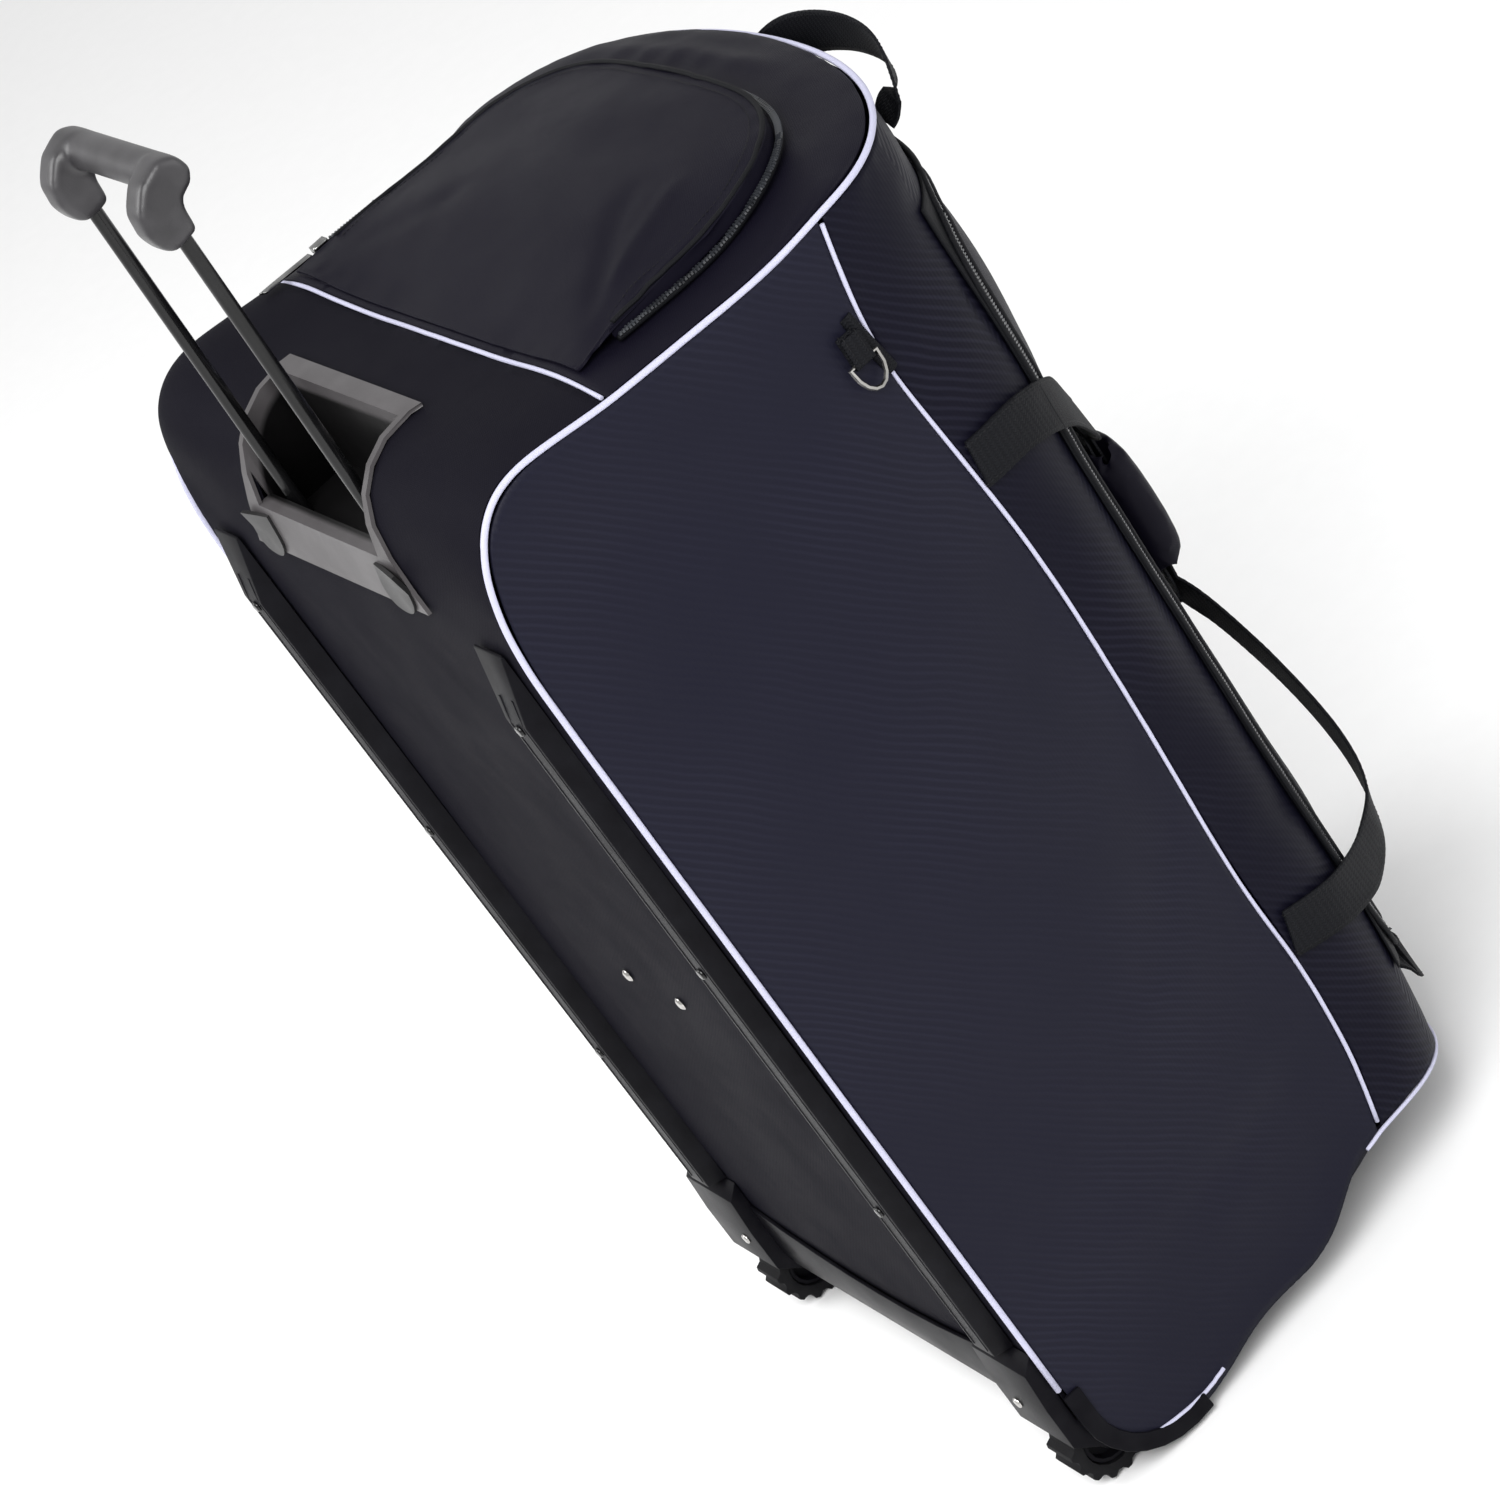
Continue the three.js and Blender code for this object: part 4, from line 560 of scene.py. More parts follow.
# Painted shade: the bezel's recess, inside the shoulder's curve, is darkened to near-black
BEZEL = Finish("bezel_moulding", (0.050, 0.046, 0.048), (0.090, 0.085, 0.088), 0.38, Texture.GRAIN,
               1000.0, 0.00006, specular=0.3, wear=0.3, dust=0.02, mapped=False,
               hollow=(0.1675, 0.796, 0.080, 0.150))
LOBE = Finish("lobe_moulding", (0.0060, 0.0056, 0.0060), (0.018, 0.0175, 0.018), 0.40, Texture.GRAIN,
              1000.0, 0.00008, specular=0.3, wear=0.2, dust=0.02, mapped=False)
RAIL = Finish("rail_plastic", (0.0026, 0.0024, 0.0036), (0.008, 0.008, 0.0105), 0.42, Texture.GRAIN,
              900.0, 0.00005, specular=0.06, wear=0.12, dust=0.01, mapped=False)
ROD = Finish("gloss_rod", (0.0018, 0.0018, 0.0020), (0.008, 0.008, 0.0085), 0.20, Texture.SMOOTH,
             relief=0.00002, coat=0.15, specular=0.3, wear=0.1, dust=0.01, mapped=False)
GRIP = Finish("grip_plastic", (0.021, 0.020, 0.022), (0.060, 0.058, 0.062), 0.34, Texture.GRAIN,
              800.0, 0.0001, specular=0.45, wear=0.25, dust=0.03, mapped=False)
NICKEL = Finish("nickel", (0.42, 0.41, 0.39), (0.60, 0.59, 0.57), 0.24, Texture.SMOOTH, relief=0.00002,
                metallic=1.0, wear=0.3, dust=0.02, mapped=False)
GUNMETAL = Finish("dark_metal", (0.06, 0.06, 0.062), (0.45, 0.45, 0.44), 0.26, Texture.SMOOTH,
                  relief=0.00003,
                  metallic=1.0, wear=0.6, dust=0.02, mapped=False)
TYRE = Finish("tyre_rubber", (0.0026, 0.0025, 0.0034), (0.010, 0.010, 0.011), 0.62, Texture.GRAIN,
              700.0, 0.00015, specular=0.12, wear=0.3, dust=0.02, mapped=False)
FLOOR = Finish("pale_floor", (0.86, 0.86, 0.86), (0.88, 0.88, 0.88), 0.75, Texture.SMOOTH,
               relief=0.00001, specular=0.1, wear=0.0, dust=0.0, mapped=False)


# Mesh help


def value_noise(points: np.ndarray, size: float, seed: int) -> np.ndarray:
    """Smooth noise between -1 and 1 at each point.

    Args:
        points: Rows of x, y, z in metres.
        size: Cell size in metres.
        seed: Whole number that picks the pattern.

    Returns:
        One value for each point.
    """
    cell = points / size
    base = np.floor(cell).astype(np.int64)
    part = cell - base
    part = part * part * (3.0 - 2.0 * part)
    total = np.zeros(len(points))
    primes = np.array([73856093, 19349663, 83492791], dtype=np.int64)
    for corner in range(8):
        step = np.array([corner & 1, corner >> 1 & 1, corner >> 2 & 1], dtype=np.int64)
        key = ((base + step) * primes).sum(axis=1) + seed * 7919
        key = (key ^ (key >> 13)) & 0x7FFFFFFF
        key = (key * 1274126177) & 0x7FFFFFFF
        value = ((key >> 9) & 0xFFFF) / 32767.5 - 1.0
        total += np.prod(np.where(step == 1, part, 1.0 - part), axis=1) * value
    return total


def smoothstep(value: np.ndarray) -> np.ndarray:
    """The usual S curve from 0 to 1.

    Args:
        value: Numbers, held between 0 and 1.

    Returns:
        The curve at each number.
    """
    held = np.clip(value, 0.0, 1.0)
    return held * held * (3.0 - 2.0 * held)


def points_of(mesh: bpy.types.Mesh) -> np.ndarray:
    """A mesh's points.

    Args:
        mesh: The mesh.

    Returns:
        Rows of x, y, z.
    """
    flat = np.empty(len(mesh.vertices) * 3)
    mesh.vertices.foreach_get("co", flat)
    return flat.reshape(-1, 3)


def normals_of(mesh: bpy.types.Mesh) -> np.ndarray:
    """A mesh's vertex normals.

    Args:
        mesh: The mesh.

    Returns:
        Rows of x, y, z.
    """
    flat = np.empty(len(mesh.vertices) * 3)
    mesh.vertices.foreach_get("normal", flat)
    return flat.reshape(-1, 3)


def outward(points: np.ndarray) -> np.ndarray:
    """The way out of the bag through each point.

    Args:
        points: Rows of points.

    Returns:
        One direction for each point.
    """
    ray = (points - BAG_MIDDLE) / BAG_REACH
    ray = np.sign(ray) * np.abs(ray) ** 3 / BAG_REACH
    return ray / np.maximum(np.linalg.norm(ray, axis=1, keepdims=True), 1e-9)


def add_cloth_map(mesh: bpy.types.Mesh) -> None:
    """Give a mesh a map in metres, laid on by the way that each face looks.

    Args:
        mesh: The mesh.
    """
    layer = mesh.uv_layers.new(name="cloth")
    corner = np.empty(len(mesh.loops), dtype=np.int32)
    mesh.loops.foreach_get("vertex_index", corner)
    normal = np.empty(len(mesh.polygons) * 3)
    mesh.polygons.foreach_get("normal", normal)
    count = np.empty(len(mesh.polygons), dtype=np.int32)
    mesh.polygons.foreach_get("loop_total", count)
    axis = np.repeat(np.abs(normal.reshape(-1, 3)).argmax(axis=1), count)
    points = points_of(mesh)[corner]
    first = np.where(axis == 0, points[:, 1], points[:, 0])
    second = np.where(axis == 2, points[:, 1], points[:, 2])
    layer.data.foreach_set("uv", np.stack([first, second], axis=1).ravel())


def resampled(points: np.ndarray, spacing: float) -> np.ndarray:
    """Points at even steps along a polyline.

    Args:
        points: The polyline.
        spacing: The longest step.

    Returns:
        The even points, with both ends.
    """
    legs = np.linalg.norm(np.diff(points, axis=0), axis=1)
    run = np.concatenate([[0.0], np.cumsum(legs)])
    count = max(2, int(run[-1] / spacing) + 1)
    marks = np.linspace(0.0, run[-1], count)
    return np.stack([np.interp(marks, run, points[:, axis]) for axis in range(3)], axis=1)


class Workshop:
    """Holds the frame and the shared node groups, and finishes each piece."""

    def __init__(self, nodes: dict[str, bpy.types.Object]) -> None:
        """Make the shared node groups.

        Args:
            nodes: The CAD nodes by name.
        """
        self.nodes = nodes
        self.effects = Effects()
        self.smooth = self._smoothing()

    @staticmethod
    def _smoothing() -> bpy.types.NodeTree:
        """A geometry group that shades faces smooth and keeps edges above an angle sharp.

        Returns:
            The group's tree.
        """
        tree = bpy.data.node_groups.new("smooth_faces", "GeometryNodeTree")
        tree.interface.new_socket("Geometry", in_out="INPUT", socket_type="NodeSocketGeometry")
        tree.interface.new_socket("Geometry", in_out="OUTPUT", socket_type="NodeSocketGeometry")
        source = tree.nodes.new("NodeGroupInput")
        sink = tree.nodes.new("NodeGroupOutput")
        faces = tree.nodes.new("GeometryNodeSetShadeSmooth")
        edges = tree.nodes.new("GeometryNodeSetShadeSmooth")
        edges.domain = "EDGE"
        edges.inputs["Shade Smooth"].default_value = False
        angle = tree.nodes.new("GeometryNodeInputMeshEdgeAngle")
        sharp = tree.nodes.new("FunctionNodeCompare")
        sharp.data_type = "FLOAT"
        sharp.operation = "GREATER_THAN"
        sharp.inputs[1].default_value = HARD_ANGLE
        tree.links.new(source.outputs[0], faces.inputs["Geometry"])
        tree.links.new(faces.outputs[0], edges.inputs["Geometry"])
        tree.links.new(angle.outputs["Unsigned Angle"], sharp.inputs[0])
        tree.links.new(sharp.outputs[0], edges.inputs["Selection"])
        tree.links.new(edges.outputs[0], sink.inputs[0])
        return tree

    def merged(self, node: str) -> bmesh.types.BMesh:
        """A CAD node's mesh with its split points joined again.

        Args:
            node: The CAD node's name.

        Returns:
            A new bmesh, which the caller frees.
        """
        build = bmesh.new()
        build.from_mesh(self.nodes[node].data)
        bmesh.ops.remove_doubles(build, verts=build.verts, dist=MERGE)
        return build

    def seam_chains(self, node: str, angle: float = SEAM_ANGLE) -> list[np.ndarray]:
        """The sharp edges of a CAD node, as polylines between its corners.

        Args:
            node: The CAD node's name.
            angle: Smallest angle that counts as sharp.

        Returns:
            One array of points for each chain, the longest first.
        """
        build = self.merged(node)
        near: dict[int, list[int]] = {}
        for edge in build.edges:
            if edge.calc_face_angle(0.0) > angle:
                first, second = (v.index for v in edge.verts)
                near.setdefault(first, []).append(second)
                near.setdefault(second, []).append(first)
        places = np.array([v.co[:] for v in build.verts])
        build.free()
        used: set[tuple[int, int]] = set()
        chains = []
        starts = [v for v, links in near.items() if len(links) != 2] + list(near)
        for start in starts:
            for following in near[start]:
                if (start, following) in used:
                    continue
                chain = [start]
                previous, current = start, following
                while True:
                    used.update({(previous, current), (current, previous)})
                    chain.append(current)
                    if len(near[current]) != 2 or current == start:
                        break
                    previous, current = current, next((v for v in near[current] if v != previous), previous)
                    if (previous, current) in used:
                        break
                chains.append(places[chain])
        chains.sort(key=lambda c: -np.linalg.norm(np.diff(c, axis=0), axis=1).sum())
        return chains

    def refined(self, node: str, levels: int, crease: float = SEAM_ANGLE,
                ) -> tuple[bpy.types.Mesh, np.ndarray]:
        """A smooth, dense copy of a CAD node's mesh.

        Args:
            node: The CAD node's name.
            levels: Subdivision levels.
            crease: Smallest angle that stays sharp.

        Returns:
            The new mesh, and points along its sharp edges.
        """
        build = self.merged(node)
        bmesh.ops.join_triangles(build, faces=build.faces, cmp_seam=False, cmp_sharp=False,
                                 angle_face_threshold=math.radians(40),
                                 angle_shape_threshold=math.radians(55))
        layer = build.edges.layers.float.new("crease_edge")
        rim = []
        for edge in build.edges:
            if edge.calc_face_angle(0.0) > crease:
                edge[layer] = 1.0
                ends = [np.array(v.co[:]) for v in edge.verts]
                rim.extend(resampled(np.array(ends), 0.006))
        mesh = bpy.data.meshes.new(node + "_coarse")
        build.to_mesh(mesh)
        build.free()
        holder = bpy.data.objects.new(node + "_coarse", mesh)
        bpy.context.scene.collection.objects.link(holder)
        division = holder.modifiers.new("rounded", "SUBSURF")
        division.levels = levels
        division.render_levels = levels
        dense = self.evaluated(holder)
        bpy.data.objects.remove(holder)
        return dense, np.array(rim).reshape(-1, 3)

    @staticmethod
    def evaluated(holder: bpy.types.Object) -> bpy.types.Mesh:
        """A new mesh with an object's modifiers applied.

        Args:
            holder: The object.

        Returns:
            The new mesh.
        """
        graph = bpy.context.evaluated_depsgraph_get()
        graph.update()
        return bpy.data.meshes.new_from_object(holder.evaluated_get(graph))

    def piece(self, name: str, mesh: bpy.types.Mesh, finish: Finish, slot: str,
              replaces: Sequence[str] = (), body: str = "bag", angle: float = 50.0) -> bpy.types.Object:
        """Turn a mesh into a finished piece that rides on a body.

        Args:
            name: The piece's name.
            mesh: Its mesh, in the shared frame.
            finish: Its finish.
            slot: The record's material slot; not used.
            replaces: The CAD nodes that it stands for.
            body: The CAD body that it moves with.
            angle: Edges above this angle in degrees stay sharp.

        Returns:
            The piece.
        """
        mesh.name = name
        mesh.materials.clear()
        mesh.materials.append(finish.material(self.effects))
        if not mesh.uv_layers:
            add_cloth_map(mesh)
        mesh.polygons.foreach_set("use_smooth", np.ones(len(mesh.polygons), dtype=bool))
        mesh.set_sharp_from_angle(angle=math.radians(angle))
        made = bpy.data.objects.new(name, mesh)
        bpy.context.scene.collection.objects.link(made)
        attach(made, body)
        if replaces:
            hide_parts(*replaces)
        LOG.info("%s: %d faces", name, len(mesh.polygons))
        return made

    def dress(self, node: str, finish: Finish, bevel: float = 0.0006, segments: int = 2,
              voxel: float = 0.0) -> None:
        """Give a hard CAD node its finish, soft edges and smooth shading.

        Args:
            node: The CAD node's name.
            finish: Its finish.
            bevel: Edge rounding in metres, or 0 for none.
            segments: Faces across the rounding.
            voxel: Cell size in metres where the whole part is rounded over, or 0.
        """
        solid = self.nodes[node]
        for place in solid.material_slots:
            place.link = "OBJECT"
            place.material = finish.material(self.effects)
        weld = solid.modifiers.new("joined", "WELD")
        weld.merge_threshold = MERGE
        if bevel:
            rounding = solid.modifiers.new("edges", "BEVEL")
            rounding.width = bevel
            rounding.segments = segments
            rounding.limit_method = "ANGLE"
            rounding.angle_limit = HARD_ANGLE
            rounding.use_clamp_overlap = True
        if voxel:
            remesh = solid.modifiers.new("even", "REMESH")
            remesh.mode = "VOXEL"
            remesh.voxel_size = voxel
            relax = solid.modifiers.new("rounded", "SMOOTH")
            relax.factor = 0.9
            relax.iterations = 26
            regrow = solid.modifiers.new("full", "DISPLACE")
            regrow.strength = voxel * 1.1
        shading = solid.modifiers.new("shading", "NODES")
        shading.node_group = self.smooth
        LOG.info("%s: %s", node, finish.name)


def surface_tree(mesh: bpy.types.Mesh) -> BVHTree:
    """A search tree over a mesh's faces.

    Args:
        mesh: The mesh.

    Returns:
        The tree.
    """
    return BVHTree.FromPolygons([v.co.copy() for v in mesh.vertices],
                                [tuple(p.vertices) for p in mesh.polygons])


def seated(tree: BVHTree, line: np.ndarray, stand: float) -> tuple[np.ndarray, np.ndarray]:
    """Lay a line of points on a surface.

    Args:
        tree: The surface's search tree.
        line: Rows of points.
        stand: Height above the surface in metres.

    Returns:
        The laid points and the surface's normals there.
    """
    places, normals = [], []
    for point in line:
        hit, normal, _, _ = tree.find_nearest(Vector(point))
        places.append(np.array(hit) + stand * np.array(normal))
        normals.append(np.array(normal))
    return np.array(places), np.array(normals)


def frames_along(line: np.ndarray, normals: np.ndarray) -> tuple[np.ndarray, np.ndarray, np.ndarray]:
    """Directions along a line on a surface.

    Args:
        line: Rows of points.
        normals: The surface's normal at each.

    Returns:
        The tangents, the side directions and the up directions.
    """
    tangent = np.gradient(line, axis=0)
    tangent /= np.maximum(np.linalg.norm(tangent, axis=1, keepdims=True), 1e-9)
    side = np.cross(tangent, normals)
    side /= np.maximum(np.linalg.norm(side, axis=1, keepdims=True), 1e-9)
    return tangent, side, np.cross(side, tangent)


def copies(name: str, places: np.ndarray, tangent: np.ndarray, side: np.ndarray, up: np.ndarray,
           shape: np.ndarray, faces: Sequence[Sequence[int]]) -> bpy.types.Mesh:
    """One mesh with a small shape set at each place along a line.

    Args:
        name: The mesh's name.
        places: Where each copy goes.
        tangent: The way along at each place.
        side: The way across at each place.
        up: The way up at each place.
        shape: The shape's points.
        faces: The shape's faces.

    Returns:
        The mesh with every copy.
    """
    points = (places[:, None, :] + shape[None, :, 0, None] * tangent[:, None, :]
              + shape[None, :, 1, None] * side[:, None, :] + shape[None, :, 2, None] * up[:, None, :])
    count = len(shape)
    all_faces = [[corner + count * copy for corner in face] for copy in range(len(places)) for face in faces]
    mesh = bpy.data.meshes.new(name)
    mesh.from_pydata(points.reshape(-1, 3).tolist(), [], all_faces)
    mesh.update()
    return mesh


def cord_mesh(name: str, line: np.ndarray, normals: np.ndarray, radius: float, sides: int = 8,
              flat: float = 1.0) -> bpy.types.Mesh:
    """A closed cord along a line.

    Args:
        name: The mesh's name.
        line: Its middle line.
        normals: The way up at each point.
        radius: Its radius.
        sides: Faces round it.
        flat: Height as a share of its width.

    Returns:
        The cord's mesh.
    """
    _, side, up = frames_along(line, normals)
    turns = np.arange(sides) * 2 * math.pi / sides
    rings = (line[:, None, :] + radius * np.cos(turns)[None, :, None] * side[:, None, :]
             + radius * flat * np.sin(turns)[None, :, None] * up[:, None, :])
    count = len(line)
    points = np.concatenate([rings.reshape(-1, 3), line[:1], line[-1:]])
    faces = [[i * sides + k, i * sides + (k + 1) % sides,
              (i + 1) * sides + (k + 1) % sides, (i + 1) * sides + k]
             for i in range(count - 1) for k in range(sides)]
    faces += [[count * sides, (k + 1) % sides, k] for k in range(sides)]
    last = (count - 1) * sides
    faces += [[count * sides + 1, last + k, last + (k + 1) % sides] for k in range(sides)]
    mesh = bpy.data.meshes.new(name)
    mesh.from_pydata(points.tolist(), [], faces)
    mesh.update()
    return mesh


def grain_shape(length: float, width: float, height: float) -> tuple[np.ndarray, list[list[int]]]:
    """A rice-grain shape for one stitch: two ends and a ring of six.

    Args:
        length: Its length.
        width: Its width.
        height: Its height.

    Returns:
        Its points and faces.
    """
    ring = [(0.0, math.cos(a) * width / 2, math.sin(a) * height / 2) for a in np.arange(6) * math.pi / 3]
    shape = np.array([(-length / 2, 0, -height * 0.3)] + ring + [(length / 2, 0, -height * 0.3)])
    faces = [[0, 1 + (i + 1) % 6, 1 + i] for i in range(6)] + [[7, 1 + i, 1 + (i + 1) % 6] for i in range(6)]
    return shape, faces


def block_shape(length: float, width: float, height: float) -> tuple[np.ndarray, list[list[int]]]:
    """A small block that narrows to its top, for one zip tooth.

    Args:
        length: Its length along the zip.
        width: Its width across the zip.
        height: Its height.

    Returns:
        Its points and faces.
    """
    low, high = -height / 2, height / 2
    corners = [(-1, -1), (1, -1), (1, 1), (-1, 1)]
    shape = np.array([(x * length / 2, y * width / 2, low) for x, y in corners]
                     + [(x * length / 3.2, y * width / 2.6, high) for x, y in corners])
    faces = [[3, 2, 1, 0], [4, 5, 6, 7], [0, 1, 5, 4], [1, 2, 6, 5], [2, 3, 7, 6], [3, 0, 4, 7]]
    return shape, faces


@dataclass(frozen=True)
class Stitching:
    """A row of sewn thread.

    Args:
        spacing: Distance between stitches.
        length: Length of one stitch.
        width: Thread width.
    """

    spacing: float = 0.0042
    length: float = 0.0036
    width: float = 0.0009

    def mesh(self, name: str, tree: BVHTree, lines: Sequence[np.ndarray]) -> bpy.types.Mesh | None:
        """Sew rows of stitches on a surface.

        Args:
            name: The mesh's name.
            tree: Search tree of the surface.
            lines: The rows, as points near the surface.

        Returns:
            One mesh with every stitch, or None where there is no row.
        """
        shape, faces = grain_shape(self.length, self.width, self.width * 0.7)
        parts = []
        for line in lines:
            even = resampled(line, self.spacing)
            if len(even) < 3:
                continue
            places, normals = seated(tree, even, self.width * 0.12)
            parts.append((places, *frames_along(places, normals)))
        if not parts:
            return None
        joined = [np.concatenate([part[i] for part in parts]) for i in range(4)]
        return copies(name, joined[0], joined[1], joined[2], joined[3], shape, faces)


@dataclass(frozen=True)
class Fold:
    """A soft ridge or valley in the cloth along one line.

    Args:
        start: One end of the line.
        end: The other end.
        width: Half width of the fold.
        height: Height at its middle, below 0 for a valley.
    """

    start: Triple
    end: Triple
    width: float
    height: float

    def lift(self, points: np.ndarray) -> np.ndarray:
        """How far the fold lifts each point.

        Args:
            points: Rows of points.

        Returns:
            One height for each point.
        """
        start = np.array(self.start)
        leg = np.array(self.end) - start
        share = np.clip((points - start) @ leg / (leg @ leg), 0.0, 1.0)
        away = np.linalg.norm(points - (start + share[:, None] * leg), axis=1)
        ends = smoothstep(np.minimum(share, 1.0 - share) * 4.0)
        return self.height * ends * np.exp(-((away / self.width) ** 2))


@dataclass(frozen=True)
class Relief:
    """How a cloth panel departs from its smooth shape.

    Args:
        swells: Size, height and seed of each layer of broad unevenness.
        pucker: Height of the small gathers beside the seams.
        fade: Distance over which the relief grows from the seams.
        folds: Single folds.
        shy_of: CAD nodes that the cloth must not rise towards.
        inflate: Even growth along the normals.
    """

    swells: tuple[tuple[float, float, int], ...] = ((0.16, 0.0022, 3), (0.06, 0.0009, 5))
    pucker: float = 0.0005
    fade: float = 0.03
    folds: tuple[Fold, ...] = ()
    shy_of: tuple[str, ...] = ()
    inflate: float = 0.0

    def apply(self, mesh: bpy.types.Mesh, rim: np.ndarray, shop: Workshop) -> None:
        """Move the mesh's points.

        Args:
            mesh: The dense mesh.
            rim: Points along its seams.
            shop: The workshop, for the nodes to keep clear of.
        """
        points = points_of(mesh)
        normals = normals_of(mesh)
        away = distances(points, rim) if len(rim) else np.full(len(points), 1.0)
        facing = np.sign((normals * outward(points)).sum(axis=1) + 1e-6)
        lift = np.zeros(len(points))
        for size, height, seed in self.swells:
            lift += height * value_noise(points, size, seed)
        for fold in self.folds:
            lift += fold.lift(points)
        lift *= smoothstep(away / self.fade)
        gathers = value_noise(points, 0.013, 17) * np.exp(-away / 0.012) * smoothstep(away / 0.003)
        lift += self.pucker * gathers
        for node in self.shy_of:
            close = distances(points, points_of(shop.nodes[node].data))
            held = smoothstep((close - 0.004) / 0.03)
            lift = np.where(lift > 0, lift * held, lift)
        moved = points + normals * (lift * facing + self.inflate)[:, None]
        mesh.vertices.foreach_set("co", moved.ravel())
        mesh.update()


def distances(points: np.ndarray, others: np.ndarray) -> np.ndarray:
    """Distance from each point to the closest of some others.

    Args:
        points: Rows of points.
        others: Rows of other points.

    Returns:
        One distance for each point.
    """
    tree = KDTree(len(others))
    for index, place in enumerate(others):
        tree.insert(Vector(place), index)
    tree.balance()
    return np.array([tree.find(Vector(point))[2] for point in points])


# Sub-assemblies


@dataclass(frozen=True)
class ClothPanel:
    """One sewn panel of the bag.

    Args:
        node: The CAD node that it stands for.
        finish: Its finish.
        slot: The record's material slot.
        relief: Its unevenness.
        levels: Subdivision levels.
    """

    node: str
    finish: Finish
    slot: str
    relief: Relief
    levels: int = 3

    def build(self, shop: Workshop) -> bpy.types.Object:
        """Make the panel.

        Args:
            shop: The workshop.

        Returns:
            The finished panel.
        """
        mesh, rim = shop.refined(self.node, self.levels)
        self.relief.apply(mesh, rim, shop)
        return shop.piece(self.node + "_cloth", mesh, self.finish, self.slot, [self.node])


